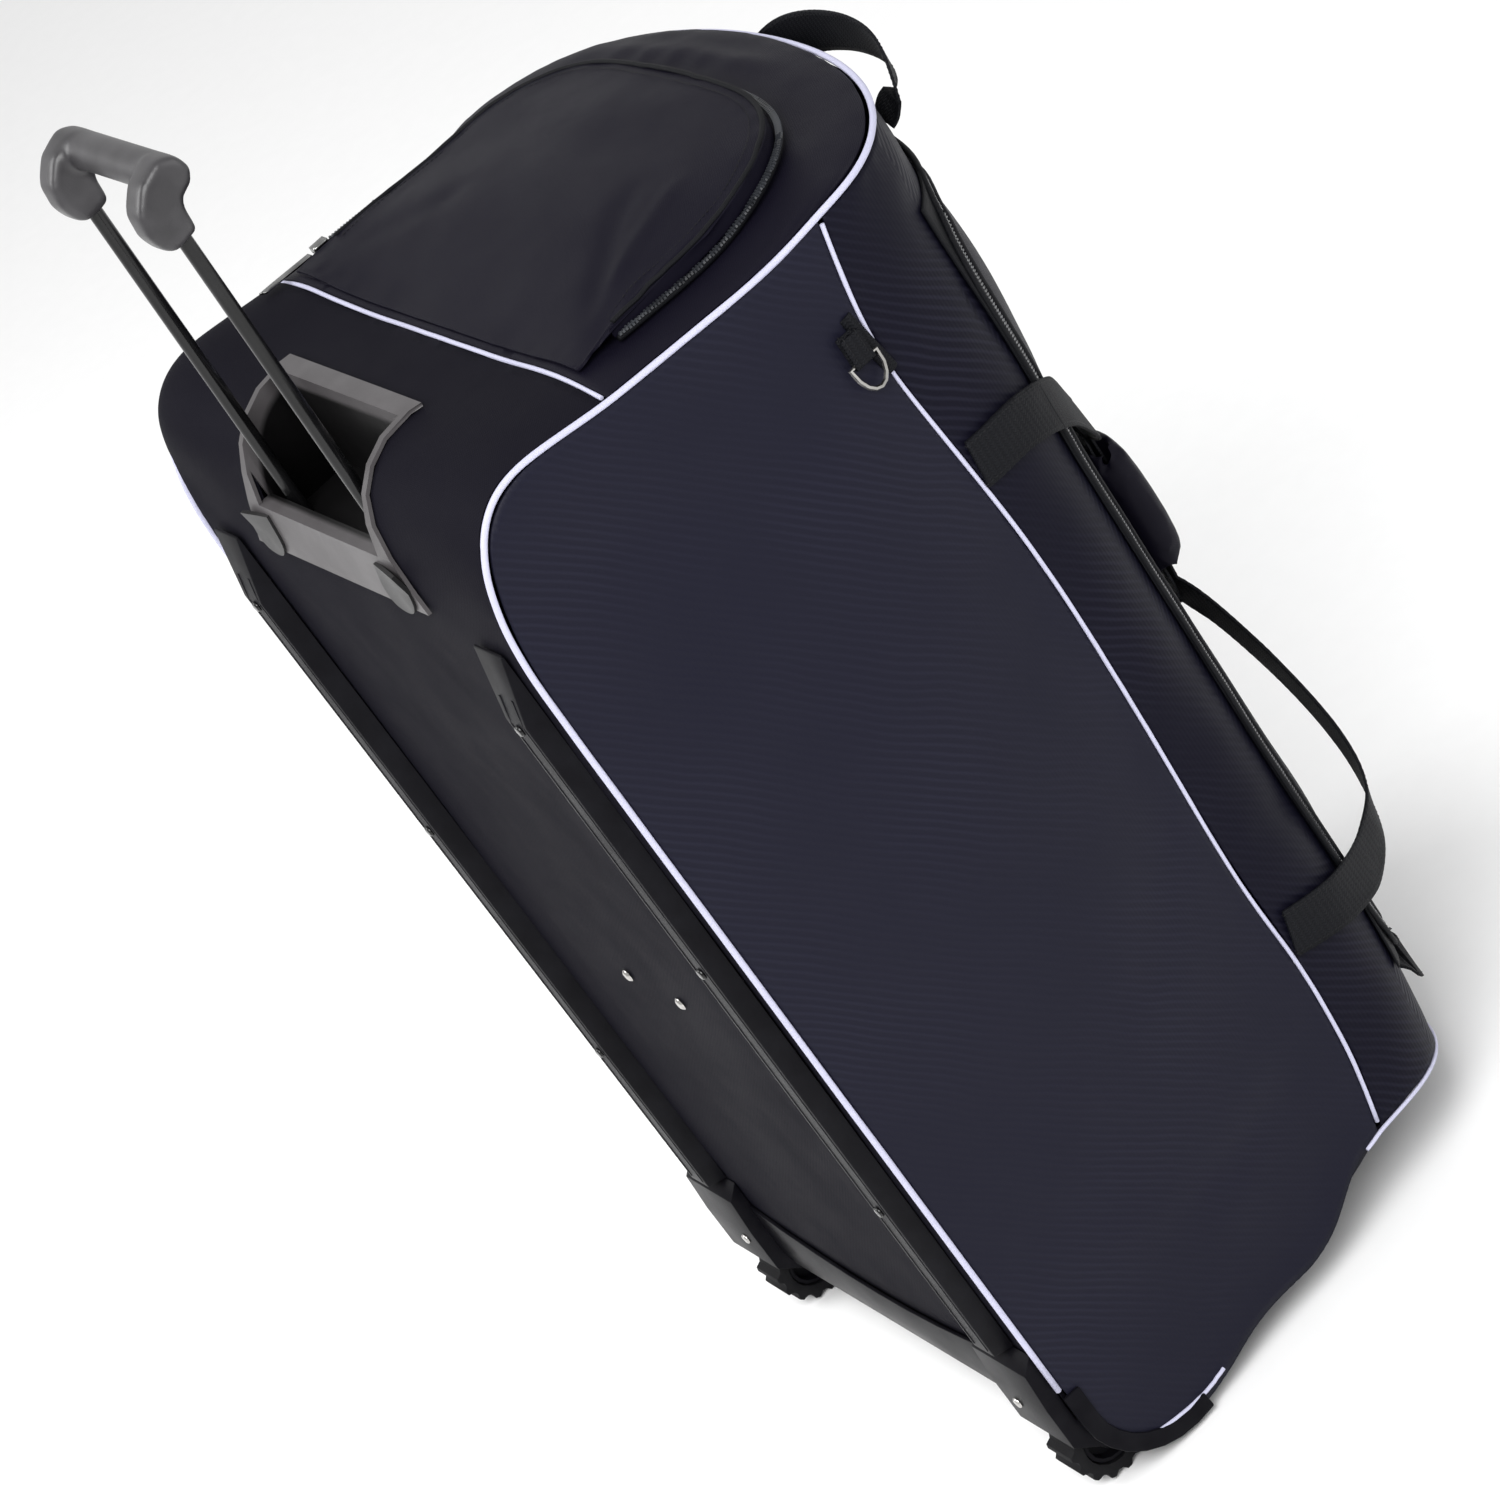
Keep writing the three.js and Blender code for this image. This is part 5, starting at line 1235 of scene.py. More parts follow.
@dataclass(frozen=True)
class BodyCloth:
    """The sewn shell: sides, back, ends, lid surround, flap and pocket.

    Args:
        shop: The workshop.
        side_reach: How far out the folds of the sides lie.
        side_growth: Even growth of the sides against their piping.
    """

    shop: Workshop
    side_reach: float = 0.275
    side_growth: float = 0.0007

    def panels(self) -> list[ClothPanel]:
        """The panels with their own folds.

        Returns:
            One entry for each panel.
        """
        straps = ("carry_strap_near", "carry_strap_far")
        sides = []
        for side in Side:
            x = self.side_reach * side.value
            folds = (
                Fold((x, 0.20, 0.86), (x, -0.02, 0.80), 0.030, -0.0028),
                Fold((x, 0.10, 0.90), (x, -0.06, 0.74), 0.022, 0.0018),
                Fold((x, 0.22, 0.22), (x, 0.02, 0.10), 0.028, 0.0024),
                Fold((x, 0.16, 0.14), (x, -0.07, 0.17), 0.022, -0.0022),
                Fold((x, -0.07, 0.42), (x, 0.05, 0.30), 0.030, -0.0018),
            )
            sides.append(ClothPanel(f"side_panel_{side.word}", PANEL, "panel_cloth",
                                    Relief(swells=((0.21, 0.0036, 3), (0.085, 0.0012, 5)), folds=folds,
                                           inflate=self.side_growth,
                                           shy_of=straps + (f"d_ring_{side.word}", f"ring_tab_{side.word}",
                                                            f"wheel_housing_{side.word}",
                                                            f"corner_guard_{side.word}"))))
        back = Relief(swells=((0.24, 0.0018, 11), (0.07, 0.0007, 13)),
                      folds=(Fold((-0.16, 0.247, 0.70), (-0.10, 0.247, 0.20), 0.012, -0.0008),
                             Fold((0.15, 0.247, 0.66), (0.13, 0.247, 0.24), 0.014, -0.0008)),
                      shy_of=("trolley_housing", "rail_near", "rail_far", "rivet_near", "rivet_far",
                              "heel_plate", "wheel_housing_near", "wheel_housing_far"))
        top = Relief(swells=((0.14, 0.0018, 21), (0.05, 0.0009, 23)), pucker=0.0008,
                     folds=(Fold((-0.235, 0.06, 0.95), (-0.22, -0.10, 0.95), 0.010, 0.0022),
                            Fold((-0.08, -0.200, 0.95), (0.16, -0.170, 0.95), 0.014, 0.0046),
                            Fold((0.12, -0.17, 0.95), (0.235, -0.04, 0.95), 0.013, 0.0040),
                            Fold((-0.20, -0.13, 0.95), (-0.09, -0.20, 0.95), 0.010, -0.0024)),
                     shy_of=("end_pocket", "pocket_zip", "pocket_pull", "pocket_slider", "grab_handle_top"))
        pocket = Relief(swells=((0.12, 0.0022, 31), (0.045, 0.0008, 33)), pucker=0.0009,
                        folds=(Fold((-0.20, 0.07, 0.96), (-0.10, -0.06, 0.965), 0.010, -0.0030),
                               Fold((-0.19, 0.04, 0.96), (-0.14, -0.08, 0.96), 0.008, 0.0022),
                               Fold((-0.14, 0.085, 0.96), (0.05, 0.06, 0.97), 0.014, -0.0018),
                               Fold((0.19, 0.06, 0.96), (0.08, -0.02, 0.965), 0.012, -0.0020)),
                        shy_of=("pocket_pull", "pocket_slider", "pocket_zip"))
        surround = Relief(swells=((0.11, 0.0020, 41), (0.045, 0.0010, 43)), pucker=0.0009,
                          folds=(Fold((-0.22, -0.16, 0.84), (-0.20, -0.20, 0.62), 0.014, -0.0026),
                                 Fold((-0.25, -0.11, 0.70), (-0.21, -0.17, 0.66), 0.012, 0.0020),
                                 Fold((-0.25, -0.10, 0.34), (-0.21, -0.18, 0.30), 0.014, -0.0022),
                                 Fold((-0.22, -0.15, 0.20), (-0.16, -0.20, 0.10), 0.014, -0.0022)),
                          shy_of=straps + ("lid_zip", "lid_flap", "grab_handle_top", "grab_handle_bottom"))
        flap = Relief(swells=((0.15, 0.0026, 51), (0.055, 0.0010, 53)), pucker=0.0008,
                      folds=(Fold((-0.13, -0.235, 0.70), (0.02, -0.24, 0.62), 0.016, -0.0022),
                             Fold((-0.13, -0.235, 0.30), (0.04, -0.24, 0.36), 0.016, -0.0022)),
                      shy_of=straps + ("handle_wrap", "lid_zip"))
        bottom = Relief(swells=((0.14, 0.0014, 61), (0.05, 0.0007, 63)), fade=0.06,
                        shy_of=("heel_plate", "grab_handle_bottom"))
        return sides + [
            ClothPanel("back_panel", BACKING, "base_cloth", back),
            ClothPanel("top_end_panel", NYLON, "base_cloth", top),
            ClothPanel("end_pocket", NYLON, "base_cloth", pocket),
            ClothPanel("lid_surround", GUSSET, "base_cloth", surround),
            ClothPanel("lid_flap", NYLON, "base_cloth", flap),
            ClothPanel("bottom_end_panel", NYLON, "base_cloth", bottom),
        ]

    def build(self) -> None:
        """Make every panel, keeping the bottom end off the floor."""
        for panel in self.panels():
            made = panel.build(self.shop)
            points = points_of(made.data)
            if points[:, 2].min() < 0.0:
                points[:, 2] = np.maximum(points[:, 2], 0.0)
                made.data.vertices.foreach_set("co", points.ravel())
                made.data.update()


@dataclass(frozen=True)
class Piping:
    """The white corded seams.

    Args:
        shop: The workshop.
        growth: Even growth of each cord.
        hem_radius: Radius of the hem's cord.
        hem_lift: Height of its middle above the side.
        hem: Its route beside the corner guard, on the far side, from the back to the guard's tip.
    """

    shop: Workshop
    growth: float = 0.0001
    hem_radius: float = 0.0016
    hem_lift: float = 0.0006
    hem: tuple[Triple, ...] = (
        (0.272, 0.2180, 0.0300), (0.272, 0.2060, 0.0245), (0.272, 0.1920, 0.0215), (0.272, 0.1780, 0.0195),
        (0.272, 0.1640, 0.0185), (0.272, 0.1500, 0.0190), (0.272, 0.1380, 0.0215))

    def build(self) -> None:
        """Round each cord and give it its finish."""
        uneven = Relief(swells=((0.02, 0.0002, 71),), pucker=0.0, fade=0.001, inflate=self.growth)
        for node in ("thick_piping", "thin_piping_near", "thin_piping_far", "end_seam_piping",
                     "bottom_piping"):
            mesh, rim = self.shop.refined(node, 2, CORD_ANGLE)
            uneven.apply(mesh, rim[:0], self.shop)
            self.shop.piece(node + "_cord", mesh, PIPING, "piping", [node], angle=70)
        for side in Side:
            panel = surface_tree(bpy.data.objects[f"side_panel_{side.word}_cloth"].data)
            line = resampled(np.array(self.hem) * np.array([side.value, 1.0, 1.0]), 0.004)
            places, normals = seated(panel, line, self.hem_lift)
            cord = cord_mesh("hem_cord", places, normals, self.hem_radius)
            self.shop.piece(f"hem_cord_{side.word}", cord, PIPING, "piping", angle=70)


@dataclass(frozen=True)
class Webbing:
    """Straps, grab handles and ring tabs of woven webbing, with their stitching.

    Args:
        shop: The workshop.
        inset: Distance from a strip's edge to its stitches.
        fold_radius: Half width of the ring tabs' folds.
        fold_flat: Height of the folds as a share of their width.
        fold_route: Route of the far fold, from the ring up into the seam.
    """

    shop: Workshop
    inset: float = 0.003
    fold_radius: float = 0.0052
    fold_flat: float = 0.62
    fold_route: tuple[Triple, ...] = (
        (0.2560, -0.0772, 0.8080), (0.2578, -0.0752, 0.8180), (0.2590, -0.0730, 0.8300),
        (0.2590, -0.0712, 0.8420), (0.2578, -0.0700, 0.8520), (0.2560, -0.0690, 0.8600))

    def rows(self, node: str) -> list[np.ndarray]:
        """The stitch rows of a strip, inside each of its long edges.

        Args:
            node: The strip's CAD node.

        Returns:
            One line of points for each row.
        """
        chains = self.shop.seam_chains(node)
        length = np.linalg.norm(np.diff(chains[0], axis=0), axis=1).sum()
        long = [resampled(c, 0.004) for c in chains
                if np.linalg.norm(np.diff(c, axis=0), axis=1).sum() > length * 0.6]
        rows = []
        for index, chain in enumerate(long):
            others = [c for i, c in enumerate(long) if i != index]
            if len(others) < 2:
                continue
            # The closest other edge is the same one on the strip's back
            partner = sorted(others, key=lambda c: distances(chain, c).mean())[1]
            gap = np.linalg.norm(chain[:, None, :] - partner[None, :, :], axis=2)
            reach = partner[gap.argmin(axis=1)] - chain
            width = np.linalg.norm(reach, axis=1, keepdims=True)
            rows.append(chain + reach * (self.inset / np.maximum(width, 1e-6)))
        return rows

    def build(self) -> None:
        """Make each strip with its rows of thread."""
        uneven = Relief(swells=((0.05, 0.0004, 81), (0.02, 0.0002, 83)), pucker=0.0001, fade=0.004)
        for node in ("carry_strap_near", "carry_strap_far", "grab_handle_top", "grab_handle_bottom",
                     "ring_tab_near", "ring_tab_far"):
            mesh, rim = self.shop.refined(node, 3)
            uneven.apply(mesh, rim, self.shop)
            tree = surface_tree(mesh)
            self.shop.piece(node + "_webbing", mesh, WEBBING, "webbing", [node])
            sewn = Stitching().mesh(node + "_thread", tree, self.rows(node))
            if sewn:
                self.shop.piece(node + "_thread", sewn, THREAD, "webbing")
        self._tab_folds()

    def _tab_folds(self) -> None:
        """The fold of each ring tab where it enters the piped seam."""
        for side in Side:
            line = resampled(np.array(self.fold_route) * np.array([side.value, 1.0, 1.0]), 0.003)
            out = np.tile([float(side.value), 0.0, 0.0], (len(line), 1))
            fold = cord_mesh("tab_fold", line, out, self.fold_radius, 12, self.fold_flat)
            self.shop.piece(f"tab_fold_{side.word}", fold, WEBBING, "webbing", angle=70)


@dataclass(frozen=True)
class HandleWrap:
    """The padded wrap that closes round both carry straps.

    Args:
        shop: The workshop.
        node: The wrap's CAD node.
        voxel: Cell size of the even mesh.
        pressure: Pressure of the stuffing.
        frames: Length of the simulation.
        cap: Farthest that a point may move.
        shrink: How far the shape is drawn in before it swells.
        widen: Share by which the stuffing widens it along x.
        deepen: Share by which the stuffing lifts it off the lid.
    """

    shop: Workshop
    node: str = "handle_wrap"
    voxel: float = 0.0032
    pressure: float = 6.5
    frames: int = 20
    cap: float = 0.0090
    shrink: float = 0.0006
    widen: float = 1.18
    deepen: float = 1.25

    def _even(self) -> bpy.types.Mesh:
        """The wrap's shape in even cells, drawn in a little and filled out.

        Returns:
            The mesh.
        """
        build = self.shop.merged(self.node)
        mesh = bpy.data.meshes.new("wrap_start")
        build.to_mesh(mesh)
        build.free()
        holder = bpy.data.objects.new("wrap_start", mesh)
        bpy.context.scene.collection.objects.link(holder)
        remesh = holder.modifiers.new("even", "REMESH")
        remesh.mode = "VOXEL"
        remesh.voxel_size = self.voxel
        even = self.shop.evaluated(holder)
        bpy.data.objects.remove(holder)
        points = points_of(even) - self.shrink * normals_of(even)
        middle = points[:, 0].mean()
        inner = points[:, 1].max()
        points[:, 0] = middle + (points[:, 0] - middle) * self.widen
        points[:, 1] = inner + (points[:, 1] - inner) * self.deepen
        even.vertices.foreach_set("co", points.ravel())
        even.update()
        return even

    def _stuffed(self, even: bpy.types.Mesh) -> bpy.types.Mesh:
        """Swell the wrap with a short cloth simulation, and hold how far it moves.

        Args:
            even: The even mesh.

        Returns:
            The swollen mesh.
        """
        start = points_of(even)
        holder = bpy.data.objects.new("wrap_pad", even)
        bpy.context.scene.collection.objects.link(holder)
        cloth = holder.modifiers.new("stuffing", "CLOTH")
        cloth.settings.quality = 6
        cloth.settings.use_pressure = True
        cloth.settings.uniform_pressure_force = self.pressure
        cloth.settings.effector_weights.gravity = 0.0
        scene = bpy.context.scene
        for step in range(1, self.frames + 1):
            scene.frame_set(step)
        swollen = points_of(self.shop.evaluated(holder))
        holder.modifiers.remove(cloth)
        scene.frame_set(1)
        move = swollen - start
        reach = np.linalg.norm(move, axis=1, keepdims=True)
        move *= np.minimum(1.0, self.cap / np.maximum(reach, 1e-9))
        even.vertices.foreach_set("co", (start + move).ravel())
        even.update()
        division = holder.modifiers.new("rounded", "SUBSURF")
        division.levels = 1
        smooth = self.shop.evaluated(holder)
        bpy.data.objects.remove(holder)
        return smooth

    def build(self) -> None:
        """Make the wrap."""
        mesh = self._even()
        mesh = self._stuffed(mesh)
        piece = self.shop.piece("handle_wrap_pad", mesh, NYLON, "base_cloth", [self.node], angle=60)


@dataclass(frozen=True)
class Zips:
    """The lid's and the pocket's zips: tapes, teeth, slider and pull.

    Args:
        shop: The workshop.
        pitch: Distance between the teeth of one row.
        tooth_height: Height of a tooth.
        lid_tooth: Width of the lid's teeth.
        pocket_tooth: Width of the pocket's teeth.
        welt_reach: Distance from the lid's teeth to each welt.
        welt_radius: Half width of a welt.
        binding_inset: Distance from the pocket's zip in to its binding.
        binding_radius: Half width of the binding.
        thread_inset: Distance from the pocket's zip in to its stitches.
        pocket_middle: The middle of the pocket's arch along y.
        above: Height from which the pocket's face is found.
    """

    shop: Workshop
    pitch: float = 0.0028
    tooth_height: float = 0.0016
    lid_tooth: float = 0.0050
    pocket_tooth: float = 0.0034
    welt_reach: float = 0.0078
    welt_radius: float = 0.0030
    binding_inset: float = 0.0065
    binding_radius: float = 0.0021
    thread_inset: float = 0.016
    pocket_middle: float = 0.056
    above: float = 1.1

    @staticmethod
    def _closed(rows: np.ndarray, passes: int = 12) -> np.ndarray:
        """Smooth the rows of a closed line, and end it where it starts.

        Args:
            rows: Points or directions round the line.
            passes: Rounds of smoothing.

        Returns:
            The smoothed rows, with the first one again at the end.
        """
        for _ in range(passes):
            rows = (np.roll(rows, 1, axis=0) + 2 * rows + np.roll(rows, -1, axis=0)) / 4
        return np.concatenate([rows, rows[:1]])

    @staticmethod
    def _middle_line(points: np.ndarray, turn: np.ndarray, bins: np.ndarray) -> np.ndarray:
        """The middle line of a band of tape.

        Args:
            points: The tape's points.
            turn: Each point's angle round the band's middle.
            bins: Angles between which points are taken together.

        Returns:
            The mean place of the points between each two angles.
        """
        held = [(turn >= low) & (turn < high) for low, high in zip(bins[:-1], bins[1:])]
        return np.array([points[inside].mean(axis=0) for inside in held if inside.any()])

    def _teeth(self, name: str, tree: BVHTree, line: np.ndarray, width: float, stand: float) -> None:
        """Set two rows of interlocked teeth along a line.

        Args:
            name: The piece's name.
            tree: Search tree of the tape.
            line: The zip's middle line.
            width: Width of a tooth.
            stand: Height of a tooth's middle above the tape.
        """
        shape, faces = block_shape(self.pitch * 0.72, width, self.tooth_height)
        even = resampled(line, self.pitch / 2)
        places, normals = seated(tree, even, stand)
        tangent, side, up = frames_along(places, normals)
        step = np.where(np.arange(len(places)) % 2 == 0, 1.0, -1.0)[:, None]
        mesh = copies(name, places + side * step * width * 0.32, tangent, side, up, shape, faces)
        self.shop.piece(name, mesh, TEETH, "zip", angle=30)

    def lid(self) -> None:
        """The lid's tape with its teeth."""
        mesh, rim = self.shop.refined("lid_zip", 2)
        Relief(swells=((0.03, 0.0004, 91),), pucker=0.0, fade=0.003).apply(mesh, rim, self.shop)
        tree = surface_tree(mesh)
        self.shop.piece("lid_zip_tape", mesh, TAPE, "zip", ["lid_zip"])
        points = points_of(mesh)
        centre = (points.min(axis=0) + points.max(axis=0)) / 2
        reach = (points - centre) / (points.max(axis=0) - centre)
        turn = np.arctan2(reach[:, 2], reach[:, 0])
        line = self._middle_line(points, turn, np.linspace(-math.pi, math.pi, 181))
        middle = self._closed(line + 0.006 * outward(line))
        self._teeth("lid_zip_teeth", tree, middle, self.lid_tooth, 0.0008)
        places, normals = seated(tree, middle, 0.0008)
        normals = self._closed(normals[:-1])
        _, side, _ = frames_along(places, normals)
        for number, shift in enumerate((-self.welt_reach, self.welt_reach), 1):
            welt = cord_mesh("lid_zip_welt", places + side * shift, normals, self.welt_radius, 8, 0.75)
            self.shop.piece(f"lid_zip_welt_{number}", welt, TAPE, "zip", angle=60)

    def pocket(self) -> None:
        """The pocket's zip round its arched edge."""
        mesh, rim = self.shop.refined("pocket_zip", 2, math.radians(80))
        Relief(swells=((0.03, 0.0003, 93),), pucker=0.0, fade=0.003, inflate=0.0002).apply(
            mesh, rim[:0], self.shop)
        points = points_of(mesh)
        tree = surface_tree(mesh)
        self.shop.piece("pocket_zip_tape", mesh, TAPE, "zip", ["pocket_zip"])
        turn = np.arctan2(points[:, 1] - self.pocket_middle, points[:, 0])
        turn = np.where(turn > 0.5 * math.pi, turn - 2 * math.pi, turn)
        line = self._middle_line(points, turn, np.linspace(turn.min(), turn.max(), 61))
        self._teeth("pocket_zip_teeth", tree, line + np.array([0.0, 0.0, 0.01]), self.pocket_tooth, 0.0003)
        self._bound_edge(line)

    def _bound_edge(self, line: np.ndarray) -> None:
        """The bound edge of the pocket's face, above its zip, with a row of stitches inside it.

        Args:
            line: The middle line of the pocket's zip.
        """
        face = surface_tree(self.shop.nodes["end_pocket"].data)
        edge = self._laid(face, line, self.binding_inset)
        up = np.tile([0.0, 0.0, 1.0], (len(edge), 1))
        binding = cord_mesh("pocket_binding", edge, up, self.binding_radius, 8, 0.8)
        self.shop.piece("pocket_binding", binding, TAPE, "zip", angle=60)
        sewn = Stitching().mesh("pocket_thread", face, [self._laid(face, line, self.thread_inset)])
        self.shop.piece("pocket_thread", sewn, THREAD, "base_cloth")

    def _laid(self, face: BVHTree, line: np.ndarray, inset: float) -> np.ndarray:
        """Move the pocket's zip line inwards and lay it on the pocket's face.

        Args:
            face: Search tree of the pocket.
            line: The middle line of the pocket's zip.
            inset: How far inwards it goes.

        Returns:
            The laid points.
        """
        middle = np.array([0.0, -0.02, 0.0])
        laid = []
        for point in resampled(line, 0.006):
            inward = (middle - point) * np.array([1.0, 1.0, 0.0])
            place = point + inward / np.linalg.norm(inward) * inset
            hit, _, _, _ = face.ray_cast(Vector((place[0], place[1], self.above)), Vector((0, 0, -1)))
            if hit:
                laid.append(np.array(hit))
        return np.array(laid)

    def hardware(self) -> None:
        """The metal slider and its looped pull."""
        for node in ("pocket_slider", "pocket_pull"):
            mesh, _ = self.shop.refined(node, 2)
            self.shop.piece(node + "_metal", mesh, GUNMETAL, "zip", [node])

    def build(self) -> None:
        """Make both zips."""
        self.lid()
        self.pocket()
        self.hardware()


@dataclass(frozen=True)
class Mouldings:
    """The moulded, metal and rubber parts that keep their CAD shape.

    Args:
        shop: The workshop.
        grip_voxel: Cell size of the even mesh that rounds the grip.
        lobe_place: The middle of the far lobe on the trolley housing's lip, along x and z.
        lobe_reach: Its half width and its depth below its middle.
        lobe_top: Half width of its straight top, and its height above its middle.
        lobe_lift: How far it stands proud of the lip.
        lobe_depth: Its place along y where no lip is found behind it.
        ridge_place: The middle of the far rail along x.
        ridge_offset: Distance from there to each ridge.
        ridge_span: The ridges' lower and upper ends.
        ridge_form: Four corners of a ridge's section, along x and y.
    """

    shop: Workshop
    grip_voxel: float = 0.0018
    lobe_place: tuple[float, float] = (0.104, 0.862)
    lobe_reach: tuple[float, float] = (0.021, 0.020)
    lobe_top: tuple[float, float] = (0.018, 0.016)
    lobe_lift: float = 0.0022
    lobe_depth: float = 0.2485
    ridge_place: float = 0.21
    ridge_offset: float = 0.009
    ridge_span: tuple[float, float] = (0.156, 0.80)
    ridge_form: tuple[tuple[float, float], ...] = (
        (-0.0016, -0.0006), (-0.0009, 0.0005), (0.0009, 0.0005), (0.0016, -0.0006))

    def build(self) -> None:
        """Give each hard node its finish."""
        for node in sorted(self.shop.nodes):
            finish, bevel = self._choice(node)
            if finish:
                self.shop.dress(node, finish, bevel, voxel=self.grip_voxel if node == "grip" else 0.0)
        self._rail_ridges()
        self._lip_lobes()

    def _lip_lobes(self) -> None:
        """The two dark D shapes on the trolley housing's lower lip."""
        tree = surface_tree(self.shop.nodes["trolley_housing"].data)
        for side in Side:
            (wide, deep), (top, rise) = self.lobe_reach, self.lobe_top
            outline = [(wide * math.cos(a), -deep * abs(math.sin(a)) ** 0.8)
                       for a in np.linspace(0.0, math.pi, 21)] + [(-top, rise), (top, rise)]
            middle = (self.lobe_place[0] * side.value, self.lobe_place[1])
            front, back = [], []
            for across, up in outline + [(0.0, 0.0)]:
                x, z = middle[0] + across, middle[1] + up
                hit, _, _, _ = tree.ray_cast(Vector((x, 0.4, z)), Vector((0, -1, 0)))
                depth = hit.y if hit and hit.y > 0.22 else self.lobe_depth
                front.append((x, depth + self.lobe_lift, z))
                back.append((x, depth - 0.001, z))
            count = len(outline)
            faces = [[i, (i + 1) % count, count] for i in range(count)]
            faces += [[(i + 1) % count + count + 1, i + count + 1, 2 * count + 1] for i in range(count)]
            faces += [[i, i + count + 1, (i + 1) % count + count + 1, (i + 1) % count] for i in range(count)]
            mesh = bpy.data.meshes.new("lip_lobe")
            mesh.from_pydata(front + back, [], faces)
            build = bmesh.new()
            build.from_mesh(mesh)
            bmesh.ops.recalc_face_normals(build, faces=build.faces)
            build.to_mesh(mesh)
            build.free()
            self.shop.piece(f"lip_lobe_{side.word}", mesh, LOBE, "moulding", angle=30)

    @staticmethod
    def _choice(node: str) -> tuple[Finish | None, float]:
        """The finish and edge rounding of a hard node.

        Args:
            node: The node's name.

        Returns:
            The finish and the rounding's width, or None and 0 for a node that isn't hard.
        """
        table = (
            ("trolley_housing", BEZEL, 0.0016), ("guide_tube", ROD, 0.0004), ("rod_", ROD, 0.0),
            ("grip", GRIP, 0.0), ("rail_screw", ROD, 0.0005), ("rail_", RAIL, 0.0016),
            ("housing_screw", NICKEL, 0.0005), ("rivet", NICKEL, 0.0006), ("heel_plate", MOULDING, 0.0008),
            ("wheel_housing", MOULDING, 0.0016), ("corner_guard", MOULDING, 0.0010),
            ("axle", NICKEL, 0.0003), ("hub", MOULDING, 0.0005), ("tyre", TYRE, 0.0008),
            ("d_ring", NICKEL, 0.0),
        )
        for start, finish, bevel in table:
            if node.startswith(start):
                return finish, bevel
        return None, 0.0

    def _rail_ridges(self) -> None:
        """Two fine ridges along each rail's crown."""
        for side in Side:
            rail = self.shop.nodes[f"rail_{side.word}"]
            tree = surface_tree(rail.data)
            for number, offset in enumerate((-self.ridge_offset, self.ridge_offset), 1):
                x = self.ridge_place * side.value + offset
                hits = [tree.ray_cast(Vector((x, 0.30, z)), Vector((0, -1, 0)))[0]
                        for z in np.linspace(*self.ridge_span, 60)]
                laid = np.array([np.array(hit) for hit in hits if hit])
                rows = [laid + np.array((*step, 0.0)) for step in self.ridge_form]
                count = len(laid)
                points = np.concatenate(rows)
                faces = [[a * count + i, a * count + i + 1, b * count + i + 1, b * count + i]
                         for a, b in ((0, 1), (1, 2), (2, 3), (3, 0)) for i in range(count - 1)]
                faces += [[0, count, 2 * count, 3 * count],
                          [4 * count - 1, 3 * count - 1, 2 * count - 1, count - 1]]
                mesh = bpy.data.meshes.new("rail_ridge")
                mesh.from_pydata(points.tolist(), [], faces)
                mesh.update()
                self.shop.piece(f"rail_ridge_{side.word}_{number}", mesh, RAIL, "rail", angle=30)


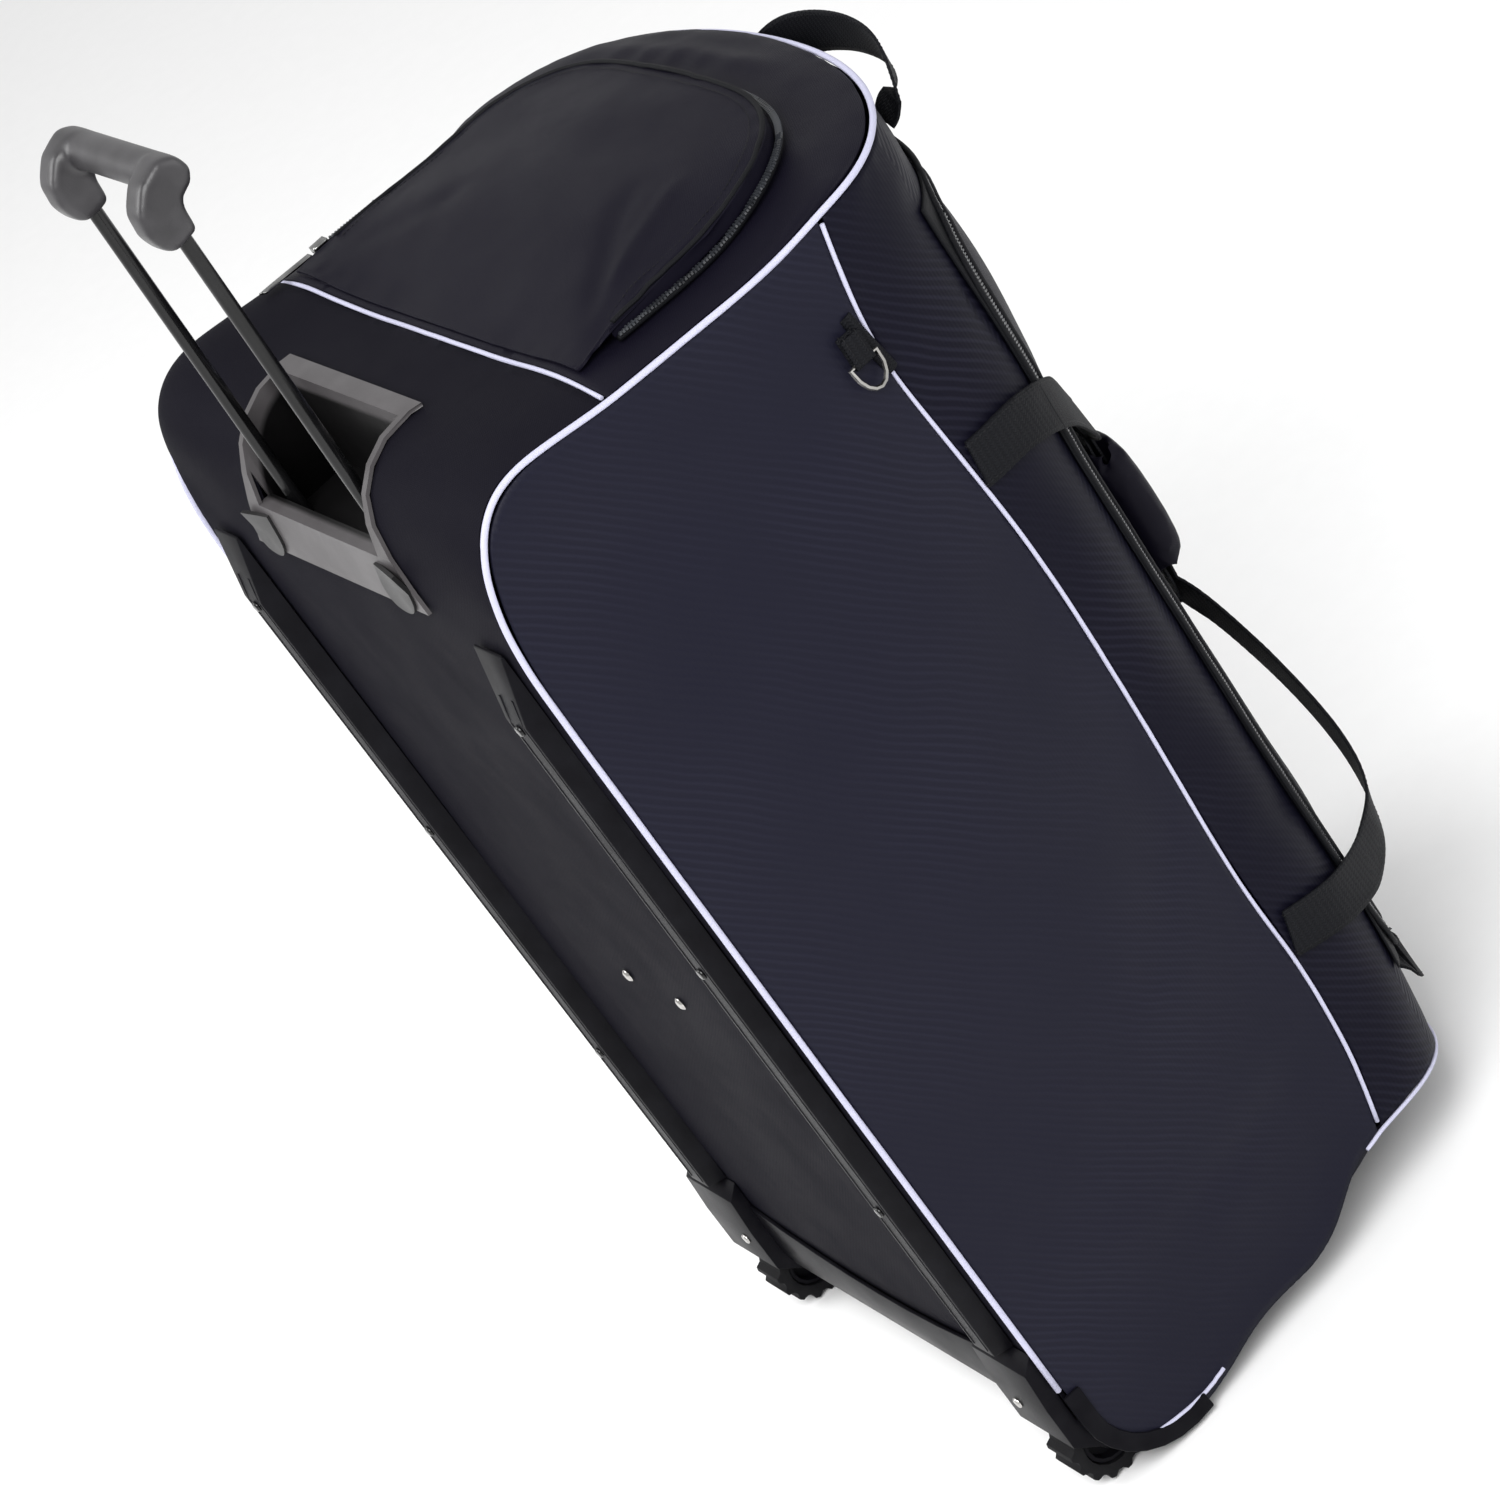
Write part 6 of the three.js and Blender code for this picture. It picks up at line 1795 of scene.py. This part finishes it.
@dataclass(frozen=True)
class Studio:
    """The floor, the light and the camera.

    Args:
        floor: Width of the floor in metres.
        key: Power of the main light in watts.
        fill: Power of the weak light in watts.
        rim: Power of the light behind in watts.
        world: Strength of the even light.
    """

    floor: float = 40.0
    key: float = 170.0
    fill: float = 35.0
    rim: float = 60.0
    world: float = 0.72

    def build(self, shop: Workshop) -> None:
        """Set up the studio.

        Args:
            shop: The workshop, for its effects.
        """
        half = self.floor / 2
        mesh = bpy.data.meshes.new("studio_floor")
        mesh.from_pydata([(-half, -half, 0), (half, -half, 0), (half, half, 0), (-half, half, 0)], [],
                         [(0, 1, 2, 3)])
        mesh.materials.append(FLOOR.material(shop.effects))
        ground = bpy.data.objects.new("studio_floor", mesh)
        bpy.context.scene.collection.objects.link(ground)
        self._light("key_light", (-2.4, 1.6, 3.4), self.key, 2.4)
        self._light("fill_light", (-2.6, -2.4, 1.8), self.fill, 2.6)
        self._light("back_light", (1.6, 2.2, 2.8), self.rim, 1.8)
        world = bpy.data.worlds.new("studio_world")
        world.use_nodes = True
        background = world.node_tree.nodes["Background"]
        background.inputs["Color"].default_value = (1.0, 1.0, 1.0, 1.0)
        background.inputs["Strength"].default_value = self.world
        bpy.context.scene.world = world
        bpy.context.scene.view_settings.view_transform = "Standard"
        self._camera()

    @staticmethod
    def _light(name: str, place: Triple, power: float, size: float) -> None:
        """Add one square soft light that looks at the bag's middle.

        Args:
            name: The light's name.
            place: Where it stands.
            power: Its power in watts.
            size: Its width.
        """
        lamp = bpy.data.lights.new(name, "AREA")
        lamp.energy = power
        lamp.size = size
        holder = bpy.data.objects.new(name, lamp)
        bpy.context.scene.collection.objects.link(holder)
        look = Vector((0.0, 0.0, 0.5)) - Vector(place)
        holder.matrix_world = Matrix.Translation(place) @ look.to_track_quat("-Z", "Y").to_matrix().to_4x4()

    @staticmethod
    def _camera() -> None:
        """Place the camera as the photograph's."""
        lens = bpy.data.cameras.new("photo_camera")
        lens.lens = CAMERA_LENS
        lens.sensor_width = CAMERA_SENSOR
        lens.sensor_fit = "HORIZONTAL"
        lens.clip_end = 100.0
        camera = bpy.data.objects.new("photo_camera", lens)
        bpy.context.scene.collection.objects.link(camera)
        turn = Matrix((CAMERA_RIGHT, CAMERA_DOWN, CAMERA_FORWARD)).transposed()
        turn = turn @ Matrix.Diagonal((1.0, -1.0, -1.0))
        camera.matrix_world = Matrix.Translation(CAMERA_PLACE) @ turn.to_4x4()
        bpy.context.scene.camera = camera


def main() -> None:
    """Build the looks in order."""
    logging.basicConfig(level=logging.INFO, format="%(name)s %(message)s")
    shop = Workshop(frame["nodes"])
    Studio().build(shop)
    BodyCloth(shop).build()
    Piping(shop).build()
    Webbing(shop).build()
    HandleWrap(shop).build()
    Zips(shop).build()
    Mouldings(shop).build()


if __name__ == "__main__":
    main()
